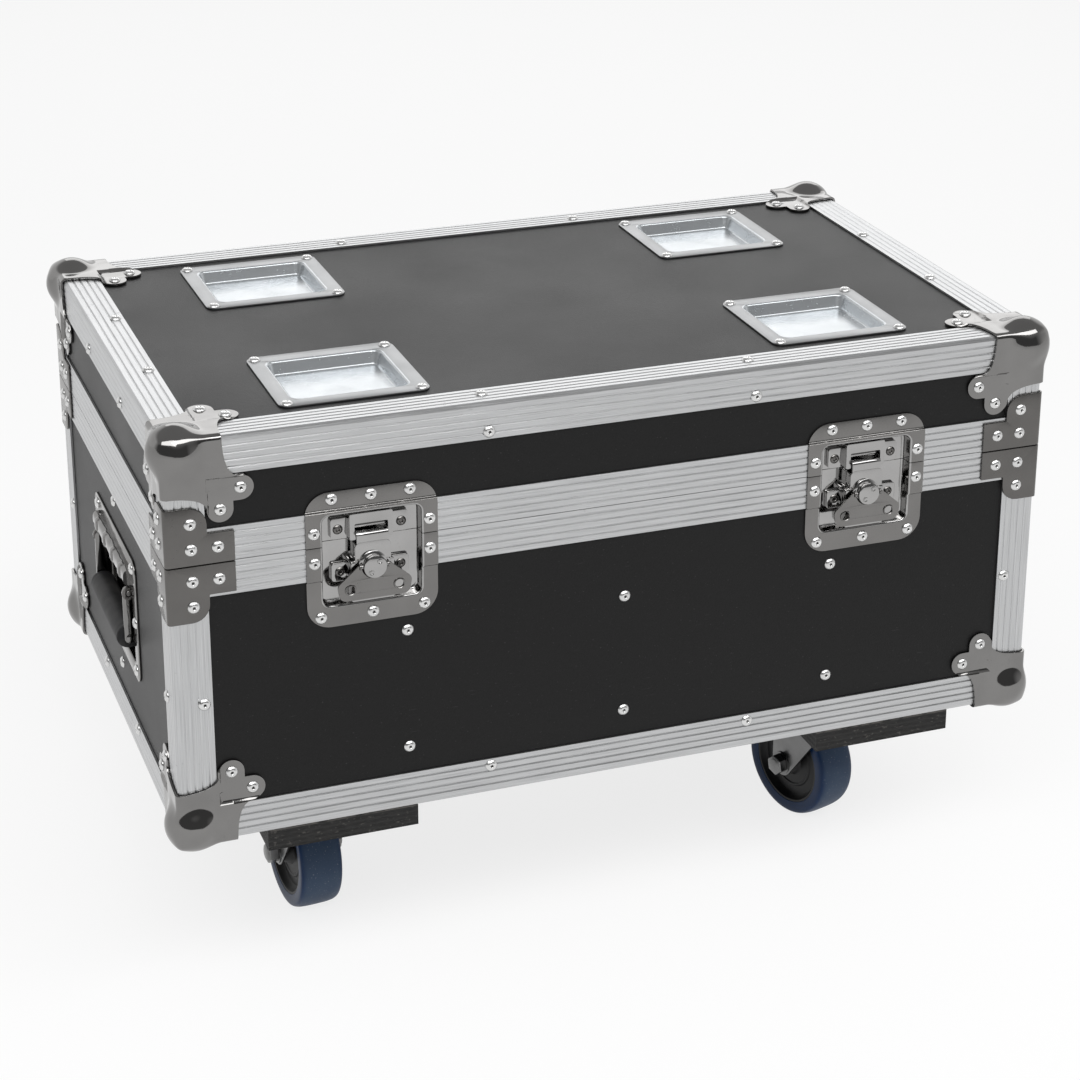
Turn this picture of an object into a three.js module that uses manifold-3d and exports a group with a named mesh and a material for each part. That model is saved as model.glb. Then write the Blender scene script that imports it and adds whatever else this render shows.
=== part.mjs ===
// A wheeled flight case: plywood base and hinged lid, aluminium edges, ball corners,
// recessed butterfly latches, sprung side handles, castor cups on top and swivel castors below.
// Millimetres, +Z up. The floor is at z = 0 and the case is centred on x = y = 0.
// The front, with the latches, faces -Y.

import * as THREE from 'three';
import { mergeVertices } from 'three/addons/utils/BufferGeometryUtils.js';
import Module from 'manifold-3d';

const wasm = await Module();
wasm.setup();

// Body, over the aluminium edges
const bodyLength = 730;
const bodyDepth = 440;
const baseHeight = 234.5;
const lidHeight = 99.5;

// Degrees from one upright edge or wall to the next
const quarterTurn = 90;

// Clearances and cutter overrun
const gap = 0.3;
const jointGap = 0.5;
const overrun = 4;

// Plywood and its dividers
const panelThickness = 9;
const dividerThickness = 9;
const crossDividerPitch = 180;
const longDividerHeight = 200;
const crossDividerHeight = 160;

// Aluminium edge angle, ribbed outside
const angleLeg = 30;
const angleMetal = 1.2;
const ribHeight = 0.5;
const angleEdgeRadius = 3;
const angleRibs = 5;

// Aluminium band round the joint, each half
const bandHeight = 27.5;
const bandRibs = 5;
const bandWeb = 2;
const bandInnerLeg = 14;
const bandInnerMetal = 1.5;
const tongueWidth = 3;
const tongueHeight = 2.5;
const tongueClearance = 0.6;
const grooveRoof = 1.6;

// Ball corner
const cornerPlate = 2;
const ballRadius = 22.6;
const ballProud = 10;
const cornerArm = 44.5;
const cornerStep = 31.8;
const lobeRadius = 10;
const lobeFar = 57.8;
const lobeNear = 41.9;
const cornerTrim = 6;

// Corner brace, one half above and one below the joint
const bracePlate = 1.5;
const braceArm = 51.5;
const braceBand = 25;
const braceReach = 46.5;
const braceWidth = 31;
const braceRound = 15;
const braceJointSpace = 0.6;

// Butterfly latch: dish with its keeper half, claw, drum and wing
const latchFromEnd = 157.5;
const latchWidth = 104;
const latchAbove = 43.5;
const latchBelow = 68;
const latchCorner = 20;
const latchRecessWidth = 78;
const latchRecessAbove = 24.5;
const latchRecessBelow = 50.5;
const latchRecessCorner = 6;
const latchDepth = 9.6;
const dishMetal = 1.2;
const keeperWidth = 34;
const keeperTop = 22.5;
const keeperBottom = 1.2;
const keeperFace = 1;
const slotWidth = 29;
const slotBottom = 6.3;
const slotHeight = 8;
const padWidth = 13.5;
const padHeight = 17;
const padProud = 3.2;
const bodyTopBelowJoint = 17;
const clawSeatTop = 3.5;
const clawSeatWidth = 25.2;
const latchBodyProud = 0.5;
const lowPadTop = 18.5;
const lowPadHeight = 15;
const clawWidth = 29;
const clawMetal = 1.5;
const clawBottom = 15.5;
const clawNeck = 0.8;
const clawTongue = 5.6;
const clawFlange = 2.8;
const clawNotch = 12.3;
const drumDrop = 19;
const drumRadius = 9.25;
const drumCollar = 11;
const drumCollarProud = 2.6;
const drumProud = 9.5;
const drumGroove = 0.7;
const pivotProud = 5.2;
const pivotPin = 1.4;
const pivotPinReach = 11.5;
const knuckleRadius = 2.3;
const knuckleInner = 10.4;
const knuckleOuter = 11.7;
const wingMetal = 1.5;
const wingTopHalf = 14;
const wingTipHalf = 29.5;
const wingTipDrop = 15;
const wingDrop = 26.5;
const wingCorner = 7;
const wingNotch = 10.2;
const wingHole = 3.5;
const wingHoleSide = 19.3;
const wingHoleDrop = 17.5;

// Sprung handle in its dish
const handleBelowJoint = 109.5;
const handleWidth = 165.5;
const handleTall = 107;
const handleCorner = 12;
const handleRecessWidth = 134;
const handleRecessTop = 27;
const handleRecessBottom = 41;
const handleRecessCorner = 6;
const handleDepth = 9.6;
const coverWidth = 128;
const coverBottom = 28;
const coverTop = 41;
const coverProud = 5.5;
const coverRibs = 4;
const coverRibWidth = 5;
const coverRibProud = 1.2;
const bailPivotUp = 20;
const bailPivotProud = 1.2;
const bailSide = 56.5;
const bailBarWidth = 9;
const bailBarMetal = 3;
const bailDrop = 41;
const gripProud = 1.5;
const bailPin = 2.5;
const bailEar = 3.5;
const bailEarRadius = 5.5;
const coverRound = 3;
const gripRadius = 10.5;
const gripLength = 112;
const gripRod = 4;

// Hinges at the back
const hingeFromEnd = 160;
const hingeWidth = 100;
const hingeLeafHeight = 26;
const hingeMetal = 1.5;
const hingeKnuckles = 5;
const hingeKnuckleRadius = 4.2;
const hingePinProud = 4.5;
const hingePinRadius = 2;
const hingeSpace = 0.4;

// Castor cups on the lid
const cupFromEnd = 160.5;
const cupFromFront = 100;
const cupLength = 120;
const cupWidth = 114;
const cupCorner = 10;
const cupPocketLength = 92;
const cupPocketWidth = 84;
const cupPocketCorner = 7;
const cupDepth = 11.5;
const cupTaper = 2.5;

// Castor boards and castors
const boardThickness = 18;
const boardWidth = 122;
const boardFromEnd = 130;
const boardInset = 2;
const castorHeight = 128;
const castorFromEnd = 131.4;
const castorFromFront = 93;
const castorPlateLength = 104;
const castorPlateWidth = 84;
const castorPlateMetal = 3;
const castorPlateCorner = 6;
const raceRadius = 27;
const raceHeight = 5;
const raceDish = 31;
const raceDishHeight = 5;
const raceNeck = 22;
const kingpinRadius = 6;
const kingpinHead = 9;
const kingpinHeadHeight = 1.5;
const wheelRadius = 50;
const wheelWidth = 36;
const wheelShoulder = 4;
const hubRecess = 6;
const hubBoss = 13;
const hubBossWidth = 40;
const axleRadius = 5;
const axleHead = 8.5;
const axleHeadHeight = 6;
const castorTrail = 38;
const forkMetal = 2.5;
const forkTopHalf = 25;
const forkEye = 12;
const forkCrown = 3;
const forkCrownDrop = 16;
const forkCrownFront = 20;
const forkCrownRear = 26;

// How the four castors happen to stand: front left, front right, rear left, rear right
const swivelAngles = [4.6, 16.6, -38, 62];

// Segments of round shapes
const wheelSides = 16;
const midSides = 12;
const smallSides = 8;
const nutSides = 6;
const ballSteps = 2;

// A rounded corner has twice as many segments as steps
const cornerSteps = 2;
const smallCornerSteps = 1;

// Shares of the size that each outline follows
const ribTopShare = 0.66;
const wheelRimShare = 0.77;
const gripBevelShare = 0.25;

// Levels that follow from these sizes
const edgeMetal = angleMetal + ribHeight;
const panelInset = edgeMetal + gap;
const halfLength = bodyLength / 2;
const halfDepth = bodyDepth / 2;
const bodyBottom = castorHeight + boardThickness;
const jointLevel = bodyBottom + baseHeight;
const bodyTop = jointLevel + lidHeight;
const halfJoint = jointGap / 2;
const innerWall = panelInset + panelThickness;
const bandInnerFace = innerWall + gap + bandInnerMetal;
const grooveHeight = tongueHeight + tongueClearance;

// Materials, one for each finish
const finish = (color, roughness, metalness) => ({ color, roughness, metalness });
const laminate = finish(0x1f1f20, 0.55, 0);
const aluminium = finish(0xc4c6c6, 0.38, 0.9);
const nickel = finish(0x9a9996, 0.22, 1);
const zinc = finish(0xb9c3cc, 0.25, 1);
const blackWood = finish(0x191918, 0.7, 0);
const plywood = finish(0x9b7a52, 0.7, 0);
const blackRubber = finish(0x18181a, 0.6, 0);
const blueRubber = finish(0x24466e, 0.6, 0);

const caseModel = new THREE.Group();

function addPiece(group, name, body, look) {
  const material = new THREE.MeshStandardMaterial({ ...look, flatShading: true });
  const mesh = new THREE.Mesh(asGeometry(body), material);
  mesh.name = name;
  group.add(mesh);
  return mesh;
}

function turnedGroup(parent, x, y, z, angleZ = 0) {
  const group = new THREE.Group();
  group.position.set(x, y, z);
  group.rotation.z = THREE.MathUtils.degToRad(angleZ);
  parent.add(group);
  return group;
}

// A frame on a wall: its X runs along the wall, its Y up and its Z out of the wall.
// Turn 0 is the front wall, a quarter turn the right one, two the back one and minus one the left.
function wallGroup(parent, turn, along, level) {
  const wall = turnedGroup(parent, 0, 0, level, turn);
  const reach = turn % (2 * quarterTurn) === 0 ? halfDepth : halfLength;
  const face = new THREE.Group();
  face.rotation.x = Math.PI / 2;
  face.position.set(along, -reach, 0);
  wall.add(face);
  return face;
}

// Solids, joined and cut

function asSolid(geometry) {
  const plain = geometry.clone();
  plain.deleteAttribute('normal');
  plain.deleteAttribute('uv');
  const merged = mergeVertices(plain);
  const corners = merged.index.array;
  const faces = [];
  for (let i = 0; i < corners.length; i += 3) {
    const [a, b, c] = corners.slice(i, i + 3);
    if (a !== b && b !== c && c !== a) {
      faces.push(a, b, c);
    }
  }
  return new wasm.Manifold(new wasm.Mesh({
    numProp: 3,
    vertProperties: new Float32Array(merged.attributes.position.array),
    triVerts: new Uint32Array(faces),
  }));
}

function asGeometry(body) {
  const mesh = body.getMesh();
  const geometry = new THREE.BufferGeometry();
  geometry.setAttribute('position', new THREE.BufferAttribute(mesh.vertProperties, mesh.numProp));
  geometry.setIndex(new THREE.BufferAttribute(mesh.triVerts, 1));
  geometry.computeVertexNormals();
  return geometry;
}

function join(...bodies) {
  return bodies.reduce((whole, body) => whole.add(body));
}

function cut(body, ...cutters) {
  return cutters.reduce((rest, cutter) => rest.subtract(cutter), body);
}

function block(x0, x1, y0, y1, z0, z1) {
  const box = new THREE.BoxGeometry(x1 - x0, y1 - y0, z1 - z0);
  box.translate((x0 + x1) / 2, (y0 + y1) / 2, (z0 + z1) / 2);
  return asSolid(box);
}

function slab(shape, z0, z1, curveSegments = cornerSteps) {
  const geometry = new THREE.ExtrudeGeometry(shape, { depth: z1 - z0, bevelEnabled: false, curveSegments });
  geometry.translate(0, 0, z0);
  return asSolid(geometry);
}

// A body of revolution about Z, from radius and height pairs that run anticlockwise
function turned(profile, sides) {
  const points = profile.map(([r, z]) => new THREE.Vector2(r, z));
  const geometry = new THREE.LatheGeometry(points, sides);
  geometry.rotateX(Math.PI / 2);
  return asSolid(geometry);
}

function disc(radius, z0, z1, sides) {
  return turned([[0, z0], [radius, z0], [radius, z1], [0, z1]], sides);
}

// A straight rod along X between two places
function rodX(radius, x0, x1, y, z, sides) {
  const geometry = new THREE.CylinderGeometry(radius, radius, x1 - x0, sides);
  geometry.rotateZ(Math.PI / 2);
  geometry.translate((x0 + x1) / 2, y, z);
  return asSolid(geometry);
}

// The radius at which a faceted bore clears its pin, also in the middle of each facet
function clearRadius(radius, sides) {
  return (radius + gap) / Math.cos(Math.PI / sides);
}

function placed(body, matrix) {
  const geometry = asGeometry(body);
  geometry.applyMatrix4(matrix);
  return asSolid(geometry);
}

// The same body as seen in the model's own frame, for cutting a neighbour with it
function inModel(holder, body) {
  holder.updateWorldMatrix(true, false);
  return placed(body, holder.matrixWorld);
}

// Both sides of the plane x = 0
function onBothSides(build) {
  return join(build(1), build(-1));
}

function sideBlock(side, near, far, y0, y1, z0, z1) {
  return block(Math.min(side * near, side * far), Math.max(side * near, side * far), y0, y1, z0, z1);
}

function roundedRectangle(x0, x1, y0, y1, radius) {
  const shape = new THREE.Shape();
  shape.absarc(x1 - radius, y0 + radius, radius, -Math.PI / 2, 0);
  shape.absarc(x1 - radius, y1 - radius, radius, 0, Math.PI / 2);
  shape.absarc(x0 + radius, y1 - radius, radius, Math.PI / 2, Math.PI);
  shape.absarc(x0 + radius, y0 + radius, radius, Math.PI, 1.5 * Math.PI);
  shape.closePath();
  return shape;
}

// A tapered body between two outlines with as many points each
function tapered(lower, z0, upper, z1) {
  const low = lower.getPoints(smallCornerSteps);
  const high = upper.getPoints(smallCornerSteps);
  if (low[0].distanceTo(low[low.length - 1]) === 0) {
    low.pop();
    high.pop();
  }
  const count = low.length;
  const positions = [];
  low.forEach((p) => positions.push(p.x, p.y, z0));
  high.forEach((p) => positions.push(p.x, p.y, z1));
  const faces = [];
  for (let i = 0; i < count; i += 1) {
    const next = (i + 1) % count;
    faces.push(i, next, count + next, i, count + next, count + i);
  }
  THREE.ShapeUtils.triangulateShape(low, []).forEach(([a, b, c]) => faces.push(a, c, b));
  THREE.ShapeUtils.triangulateShape(high, []).forEach(([a, b, c]) => {
    faces.push(count + a, count + b, count + c);
  });
  const geometry = new THREE.BufferGeometry();
  geometry.setAttribute('position', new THREE.Float32BufferAttribute(positions, 3));
  geometry.setIndex(faces);
  return asSolid(geometry);
}

function outline(points) {
  const path = points.map(([x, y]) => new THREE.Vector2(x, y));
  if (THREE.ShapeUtils.isClockWise(path)) {
    path.reverse();
  }
  return new THREE.Shape(path);
}

// A closed ring with mitred corners, from the insets and heights of its section
function mitredRing(section) {
  const profile = section.map(([inset, z]) => new THREE.Vector2(-inset, z));
  if (THREE.ShapeUtils.isClockWise(profile)) {
    profile.reverse();
  }
  const signs = [[-1, -1], [1, -1], [1, 1], [-1, 1]];
  const count = profile.length;
  const positions = [];
  signs.forEach(([sx, sy]) => profile.forEach((point) => {
    positions.push(sx * (halfLength + point.x), sy * (halfDepth + point.x), point.y);
  }));
  const faces = [];
  for (let corner = 0; corner < signs.length; corner += 1) {
    const here = corner * count;
    const there = ((corner + 1) % signs.length) * count;
    for (let i = 0; i < count; i += 1) {
      const next = (i + 1) % count;
      faces.push(here + i, there + i, there + next, here + i, there + next, here + next);
    }
  }
  const geometry = new THREE.BufferGeometry();
  geometry.setAttribute('position', new THREE.Float32BufferAttribute(positions, 3));
  geometry.setIndex(faces);
  return asSolid(geometry);
}

// The ribbed outside of an extrusion, as depth and distance pairs from one edge to the other
function ribbedFace(start, end, count) {
  const pitch = (end - start) / (count - 1 + ribTopShare);
  const points = [];
  for (let i = 0; i < count; i += 1) {
    const from = start + i * pitch;
    points.push([0, from]);
    points.push([0, from + ribTopShare * pitch]);
    if (i < count - 1) {
      points.push([ribHeight, from + (1 + ribTopShare) / 2 * pitch]);
    }
  }
  return points;
}

// The section of the edge angle, as insets from its two outer faces
function angleSection() {
  const leg = ribbedFace(angleEdgeRadius, angleLeg, angleRibs);
  const bend = [];
  for (let i = 1; i < cornerSteps; i += 1) {
    const turn = (i / cornerSteps) * (Math.PI / 2);
    bend.push([angleEdgeRadius * (1 - Math.cos(turn)), angleEdgeRadius * (1 - Math.sin(turn))]);
  }
  const oneLeg = leg.map(([depth, along]) => [depth, along]).reverse();
  const otherLeg = leg.map(([depth, along]) => [along, depth]);
  const inside = [[angleLeg, edgeMetal], [edgeMetal, edgeMetal], [edgeMetal, angleLeg]];
  return [...oneLeg, ...bend, ...otherLeg, ...inside];
}

const tongueInset = panelInset + panelThickness / 2;

// The lower half of the band, with the tongue on its rim
function baseBandSection() {
  const rim = -halfJoint;
  const half = tongueWidth / 2;
  return [
    ...ribbedFace(-bandHeight, rim, bandRibs),
    [tongueInset - half, rim],
    [tongueInset - half, rim + tongueHeight],
    [tongueInset + half, rim + tongueHeight],
    [tongueInset + half, rim],
    [bandInnerFace, rim],
    [bandInnerFace, -bandInnerLeg],
    [bandInnerFace - bandInnerMetal, -bandInnerLeg],
    [bandInnerFace - bandInnerMetal, rim - bandWeb],
    [edgeMetal, rim - bandWeb],
    [edgeMetal, -bandHeight],
  ];
}

const lidWeb = grooveHeight + grooveRoof;

// The upper half of the band, with the groove that takes the tongue
function lidBandSection() {
  const rim = halfJoint;
  const half = tongueWidth / 2 + tongueClearance;
  return [
    ...ribbedFace(rim, bandHeight, bandRibs).reverse(),
    [tongueInset - half, rim],
    [tongueInset - half, rim + grooveHeight],
    [tongueInset + half, rim + grooveHeight],
    [tongueInset + half, rim],
    [bandInnerFace, rim],
    [bandInnerFace, bandInnerLeg],
    [bandInnerFace - bandInnerMetal, bandInnerLeg],
    [bandInnerFace - bandInnerMetal, rim + lidWeb],
    [edgeMetal, rim + lidWeb],
    [edgeMetal, bandHeight],
  ];
}

// The four upright edges of the case. A quarter turn takes one to the next, and the long and short
// sides change places with it.
const edges = [
  { name: 'front_left', x: -halfLength, y: -halfDepth, turn: 0 },
  { name: 'front_right', x: halfLength, y: -halfDepth, turn: quarterTurn },
  { name: 'rear_right', x: halfLength, y: halfDepth, turn: 2 * quarterTurn },
  { name: 'rear_left', x: -halfLength, y: halfDepth, turn: 3 * quarterTurn },
];

function atEdge(body, edge) {
  const matrix = new THREE.Matrix4().makeRotationZ(THREE.MathUtils.degToRad(edge.turn));
  matrix.setPosition(edge.x, edge.y, 0);
  return placed(body, matrix);
}

const postOverlap = ribHeight;

// The tips of the case's corners, which stop short of the ball corners
function cornerTrims(level, up) {
  const ends = [level - up * overrun, level + up * cornerTrim];
  const trim = block(-overrun, cornerTrim, -overrun, cornerTrim, Math.min(...ends), Math.max(...ends));
  return edges.map((edge) => atEdge(trim, edge));
}

// Edge angles round the bottom or top, four posts, and the band at the joint, riveted into one frame
function edgeFrame(angleLevel, up, bandSection) {
  const ring = mitredRing(angleSection().map(([inset, height]) => [inset, angleLevel + up * height]));
  const band = mitredRing(bandSection.map(([inset, z]) => [inset, jointLevel + z]));
  const postEnds = [angleLevel + up * (angleLeg - postOverlap), jointLevel - up * (bandHeight - postOverlap)];
  const post = slab(outline(angleSection()), Math.min(...postEnds), Math.max(...postEnds));
  const posts = edges.map((edge) => atEdge(post, edge));
  return cut(join(ring, band, ...posts), ...cornerTrims(angleLevel, up));
}

function insetBlock(inset, z0, z1) {
  return block(inset - halfLength, halfLength - inset, inset - halfDepth, halfDepth - inset, z0, z1);
}

// Walls on which fittings sit, and the fittings' own frames
const base = new THREE.Group();
const lid = new THREE.Group();
caseModel.add(base, lid);

const latchPlaces = [
  { name: 'left', frame: wallGroup(caseModel, 0, latchFromEnd - halfLength, jointLevel) },
  { name: 'right', frame: wallGroup(caseModel, 0, halfLength - latchFromEnd, jointLevel) },
];
const handlePlaces = [
  { name: 'left', frame: wallGroup(caseModel, -quarterTurn, 0, jointLevel - handleBelowJoint) },
  { name: 'right', frame: wallGroup(caseModel, quarterTurn, 0, jointLevel - handleBelowJoint) },
];
const hingePlaces = [
  { name: 'left', frame: wallGroup(caseModel, 2 * quarterTurn, halfLength - hingeFromEnd, jointLevel) },
  { name: 'right', frame: wallGroup(caseModel, 2 * quarterTurn, hingeFromEnd - halfLength, jointLevel) },
];
const cupPlaces = edges.map((edge) => ({
  name: edge.name,
  frame: turnedGroup(
    caseModel,
    Math.sign(edge.x) * (halfLength - cupFromEnd),
    Math.sign(edge.y) * (halfDepth - cupFromFront),
    bodyTop,
  ),
}));

// The openings that the fittings need in the plywood and the aluminium
const latchSide = latchRecessWidth / 2 + dishMetal + gap;

function latchOpening(depth) {
  const down = latchRecessBelow + dishMetal + gap;
  const up = latchRecessAbove + dishMetal + gap;
  return block(-latchSide, latchSide, -down, up, -depth, overrun);
}

function handleOpening() {
  const side = handleRecessWidth / 2 + dishMetal + gap;
  const down = handleRecessBottom + dishMetal + gap;
  const up = handleRecessTop + dishMetal + gap;
  return block(-side, side, -down, up, -innerWall - overrun, overrun);
}

function cupOpening() {
  const x = cupPocketLength / 2 + dishMetal + gap;
  const y = cupPocketWidth / 2 + dishMetal + gap;
  return block(-x, x, -y, y, -innerWall - overrun, overrun);
}

const latchWallHoles = latchPlaces.map(({ frame }) => inModel(frame, latchOpening(innerWall + overrun)));
const latchBandHoles = latchPlaces.map(({ frame }) => inModel(frame, latchOpening(innerWall)));
const handleHoles = handlePlaces.map(({ frame }) => inModel(frame, handleOpening()));
const cupHoles = cupPlaces.map(({ frame }) => inModel(frame, cupOpening()));

// Plywood shells
const floorLevel = bodyBottom + innerWall;
const baseRim = jointLevel - halfJoint - bandWeb - gap;
const lidRim = jointLevel + halfJoint + lidWeb + gap;

const baseShell = cut(
  insetBlock(panelInset, bodyBottom + panelInset, baseRim),
  insetBlock(innerWall, floorLevel, baseRim + overrun),
  ...latchWallHoles,
  ...handleHoles,
  ...cornerTrims(bodyBottom, 1),
);
const lidShell = cut(
  insetBlock(panelInset, lidRim, bodyTop - panelInset),
  insetBlock(innerWall, lidRim - overrun, bodyTop - innerWall),
  ...latchWallHoles,
  ...cupHoles,
  ...cornerTrims(bodyTop, -1),
);
addPiece(base, 'base_shell', baseShell, laminate);
addPiece(lid, 'lid_shell', lidShell, laminate);
const baseFrame = cut(edgeFrame(bodyBottom, 1, baseBandSection()), ...latchBandHoles);
const lidFrame = cut(edgeFrame(bodyTop, -1, lidBandSection()), ...latchBandHoles);
addPiece(base, 'base_edge_frame', baseFrame, aluminium);
addPiece(lid, 'lid_edge_frame', lidFrame, aluminium);

// Dividers: one long board and three cross boards, halved into each other
function dividerGrid() {
  const bottom = floorLevel + gap;
  const half = dividerThickness / 2;
  const endX = halfLength - innerWall - gap;
  const endY = halfDepth - innerWall - gap;
  const long = block(-endX, endX, -half, half, bottom, floorLevel + longDividerHeight);
  const cross = [-crossDividerPitch, 0, crossDividerPitch].map((x) => (
    block(x - half, x + half, -endY, endY, bottom, floorLevel + crossDividerHeight)
  ));
  return join(long, ...cross);
}
addPiece(base, 'divider_grid', dividerGrid(), plywood);

// Ball corner, drawn for the corner at its origin whose case lies towards +X, +Y and +Z
const cornerOuter = gap + cornerPlate;

function cornerOutline() {
  const shape = new THREE.Shape();
  const reach = lobeNear - lobeRadius;
  shape.moveTo(-cornerOuter, -cornerOuter);
  shape.lineTo(cornerArm, -cornerOuter);
  shape.quadraticCurveTo(cornerArm, reach, lobeFar, reach);
  shape.absarc(lobeFar, lobeNear, lobeRadius, -Math.PI / 2, Math.PI / 2);
  shape.lineTo(lobeNear + lobeRadius, lobeNear + lobeRadius);
  shape.absarc(lobeNear, lobeFar, lobeRadius, 0, Math.PI);
  shape.quadraticCurveTo(reach, cornerArm, -cornerOuter, cornerArm);
  return shape;
}

const cycle = new THREE.Matrix4().makeBasis(
  new THREE.Vector3(0, 1, 0),
  new THREE.Vector3(0, 0, 1),
  new THREE.Vector3(1, 0, 0),
);

function onThreeFaces(body) {
  const second = placed(body, cycle);
  return [body, second, placed(second, cycle)];
}

function roundedEdge(far, radius, outer) {
  const start = -outer - overrun;
  const middle = radius - outer;
  const square = block(start, middle, start, middle, start, far);
  const round = disc(radius, start - overrun, far + overrun, smallSides);
  return cut(square, placed(round, new THREE.Matrix4().makeTranslation(middle, middle, 0)));
}

function ballCorner() {
  const far = lobeFar + lobeRadius + overrun;
  const padBottom = panelInset - gap;
  const padTop = padBottom - cornerPlate;
  const legEnd = angleLeg + gap;
  const plate = slab(cornerOutline(), -cornerOuter, padBottom);
  const padRecess = block(cornerStep, far, cornerStep, far, -cornerOuter - overrun, padTop);
  const plates = onThreeFaces(cut(plate, padRecess));
  const caseInside = block(-gap, far, -gap, far, -gap, far);
  const panelFloor = block(legEnd, far + overrun, legEnd, far + overrun, -gap - overrun, padBottom);
  const tip = block(-overrun, cornerTrim - gap, -overrun, cornerTrim - gap, -overrun, cornerTrim - gap);
  const inside = cut(caseInside, ...onThreeFaces(panelFloor), tip);
  const middle = ballRadius - ballProud;
  const centre = new THREE.Matrix4().makeTranslation(middle, middle, middle);
  const ball = placed(asSolid(new THREE.IcosahedronGeometry(ballRadius, ballSteps)), centre);
  const rounded = cut(join(...plates), ...onThreeFaces(roundedEdge(far, angleEdgeRadius, cornerOuter)));
  return cut(join(rounded, ball), inside);
}

// Brace, drawn for the upright edge at its origin, hanging down from the joint
const braceOuter = gap + bracePlate;

function braceOutline() {
  const shape = new THREE.Shape();
  const top = -braceJointSpace / 2;
  shape.moveTo(-braceOuter, top);
  shape.lineTo(-braceOuter, -braceReach);
  shape.lineTo(braceWidth - braceRound, -braceReach);
  shape.absarc(braceWidth - braceRound, braceRound - braceReach, braceRound, -Math.PI / 2, 0);
  shape.lineTo(braceWidth, -braceBand);
  shape.lineTo(braceArm, -braceBand);
  shape.lineTo(braceArm, top);
  return shape;
}

function cornerBrace() {
  const towardsY = new THREE.Matrix4().makeBasis(
    new THREE.Vector3(1, 0, 0),
    new THREE.Vector3(0, 0, 1),
    new THREE.Vector3(0, -1, 0),
  );
  const towardsX = new THREE.Matrix4().makeBasis(
    new THREE.Vector3(0, 1, 0),
    new THREE.Vector3(0, 0, 1),
    new THREE.Vector3(1, 0, 0),
  );
  const front = placed(slab(braceOutline(), gap, braceOuter), towardsY);
  const side = placed(slab(braceOutline(), -braceOuter, -gap), towardsX);
  const corner = cut(
    block(-braceOuter, angleEdgeRadius, -braceOuter, angleEdgeRadius, -braceReach, -braceJointSpace / 2),
    block(-gap, angleEdgeRadius + overrun, -gap, angleEdgeRadius + overrun, -braceReach - overrun, overrun),
  );
  const drop = new THREE.Matrix4().makeTranslation(0, 0, -braceReach - overrun);
  const round = placed(roundedEdge(braceReach + 2 * overrun, angleEdgeRadius, braceOuter), drop);
  return cut(join(front, side, corner), round);
}

const ballCornerBody = ballCorner();
const braceBody = cornerBrace();
edges.forEach((edge) => {
  const bottom = turnedGroup(base, edge.x, edge.y, bodyBottom, edge.turn);
  addPiece(bottom, `base_ball_corner_${edge.name}`, ballCornerBody, nickel);
  const top = turnedGroup(lid, edge.x, edge.y, bodyTop, edge.turn + quarterTurn);
  addPiece(top, `lid_ball_corner_${edge.name}`, ballCornerBody, nickel).rotation.x = Math.PI;
  const below = turnedGroup(base, edge.x, edge.y, jointLevel, edge.turn);
  addPiece(below, `base_brace_${edge.name}`, braceBody, nickel);
  const above = turnedGroup(lid, edge.x, edge.y, jointLevel, edge.turn + quarterTurn);
  addPiece(above, `lid_brace_${edge.name}`, braceBody, nickel).rotation.x = Math.PI;
});

// Latch, drawn with X along the front, Y up from the joint and Z out of the band
const panelSeat = gap - panelInset;
const latchFloor = -latchDepth;
const latchUnder = latchFloor - dishMetal / 2;
const latchMetalTop = gap + dishMetal;

function latchPressing() {
  const half = latchWidth / 2;
  const recessHalf = latchRecessWidth / 2;
  const far = latchBelow + overrun;
  const flangeShape = roundedRectangle(-half, half, -latchBelow, latchAbove, latchCorner);
  const flange = slab(flangeShape, panelSeat, latchMetalTop);
  const stepFar = bandHeight + gap + dishMetal;
  const stepNear = bandHeight + gap;
  const stepDown = panelSeat + dishMetal;
  const flangeSteps = [
    block(-half - overrun, half + overrun, -far, -stepFar, stepDown, latchMetalTop + overrun),
    block(-half - overrun, half + overrun, stepFar, far, stepDown, latchMetalTop + overrun),
    block(-half - overrun, half + overrun, -stepNear, stepNear, panelSeat - overrun, gap),
  ];
  const tub = roundedRectangle(
    -recessHalf - dishMetal,
    recessHalf + dishMetal,
    -latchRecessBelow - dishMetal,
    latchRecessAbove + dishMetal,
    latchRecessCorner + dishMetal,
  );
  const recess = roundedRectangle(
    -recessHalf,
    recessHalf,
    -latchRecessBelow,
    latchRecessAbove,
    latchRecessCorner,
  );
  const raised = join(cut(flange, ...flangeSteps), slab(tub, latchFloor - dishMetal, gap, smallCornerSteps));
  return cut(raised, slab(recess, latchFloor, latchMetalTop + overrun, smallCornerSteps));
}

function halfOf(body, up) {
  const reach = latchBelow + overrun;
  const ends = [up * halfJoint, up * reach];
  const keep = block(-latchWidth, latchWidth, Math.min(...ends), Math.max(...ends), -latchWidth, latchWidth);
  return body.intersect(keep);
}

const keeperHalf = keeperWidth / 2;

function latchKeeper() {
  const sideWall = dishMetal;
  const face = block(-keeperHalf, keeperHalf, keeperBottom, keeperTop, -keeperFace - dishMetal, -keeperFace);
  const slotHalf = slotWidth / 2;
  const slotTop = slotBottom + slotHeight;
  const slot = block(-slotHalf, slotHalf, slotBottom, slotTop, -keeperFace - overrun, overrun);
  const cheeks = onBothSides((side) => (
    sideBlock(side, keeperHalf - sideWall, keeperHalf, keeperBottom, keeperTop, latchUnder, -keeperFace)
  ));
  const pads = onBothSides((side) => sideBlock(
    side,
    keeperHalf - sideWall,
    keeperHalf + padWidth,
    keeperBottom,
    keeperBottom + padHeight,
    latchUnder,
    latchFloor + padProud,
  ));
  return join(halfOf(latchPressing(), 1), cut(face, slot), cheeks, pads);
}

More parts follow.
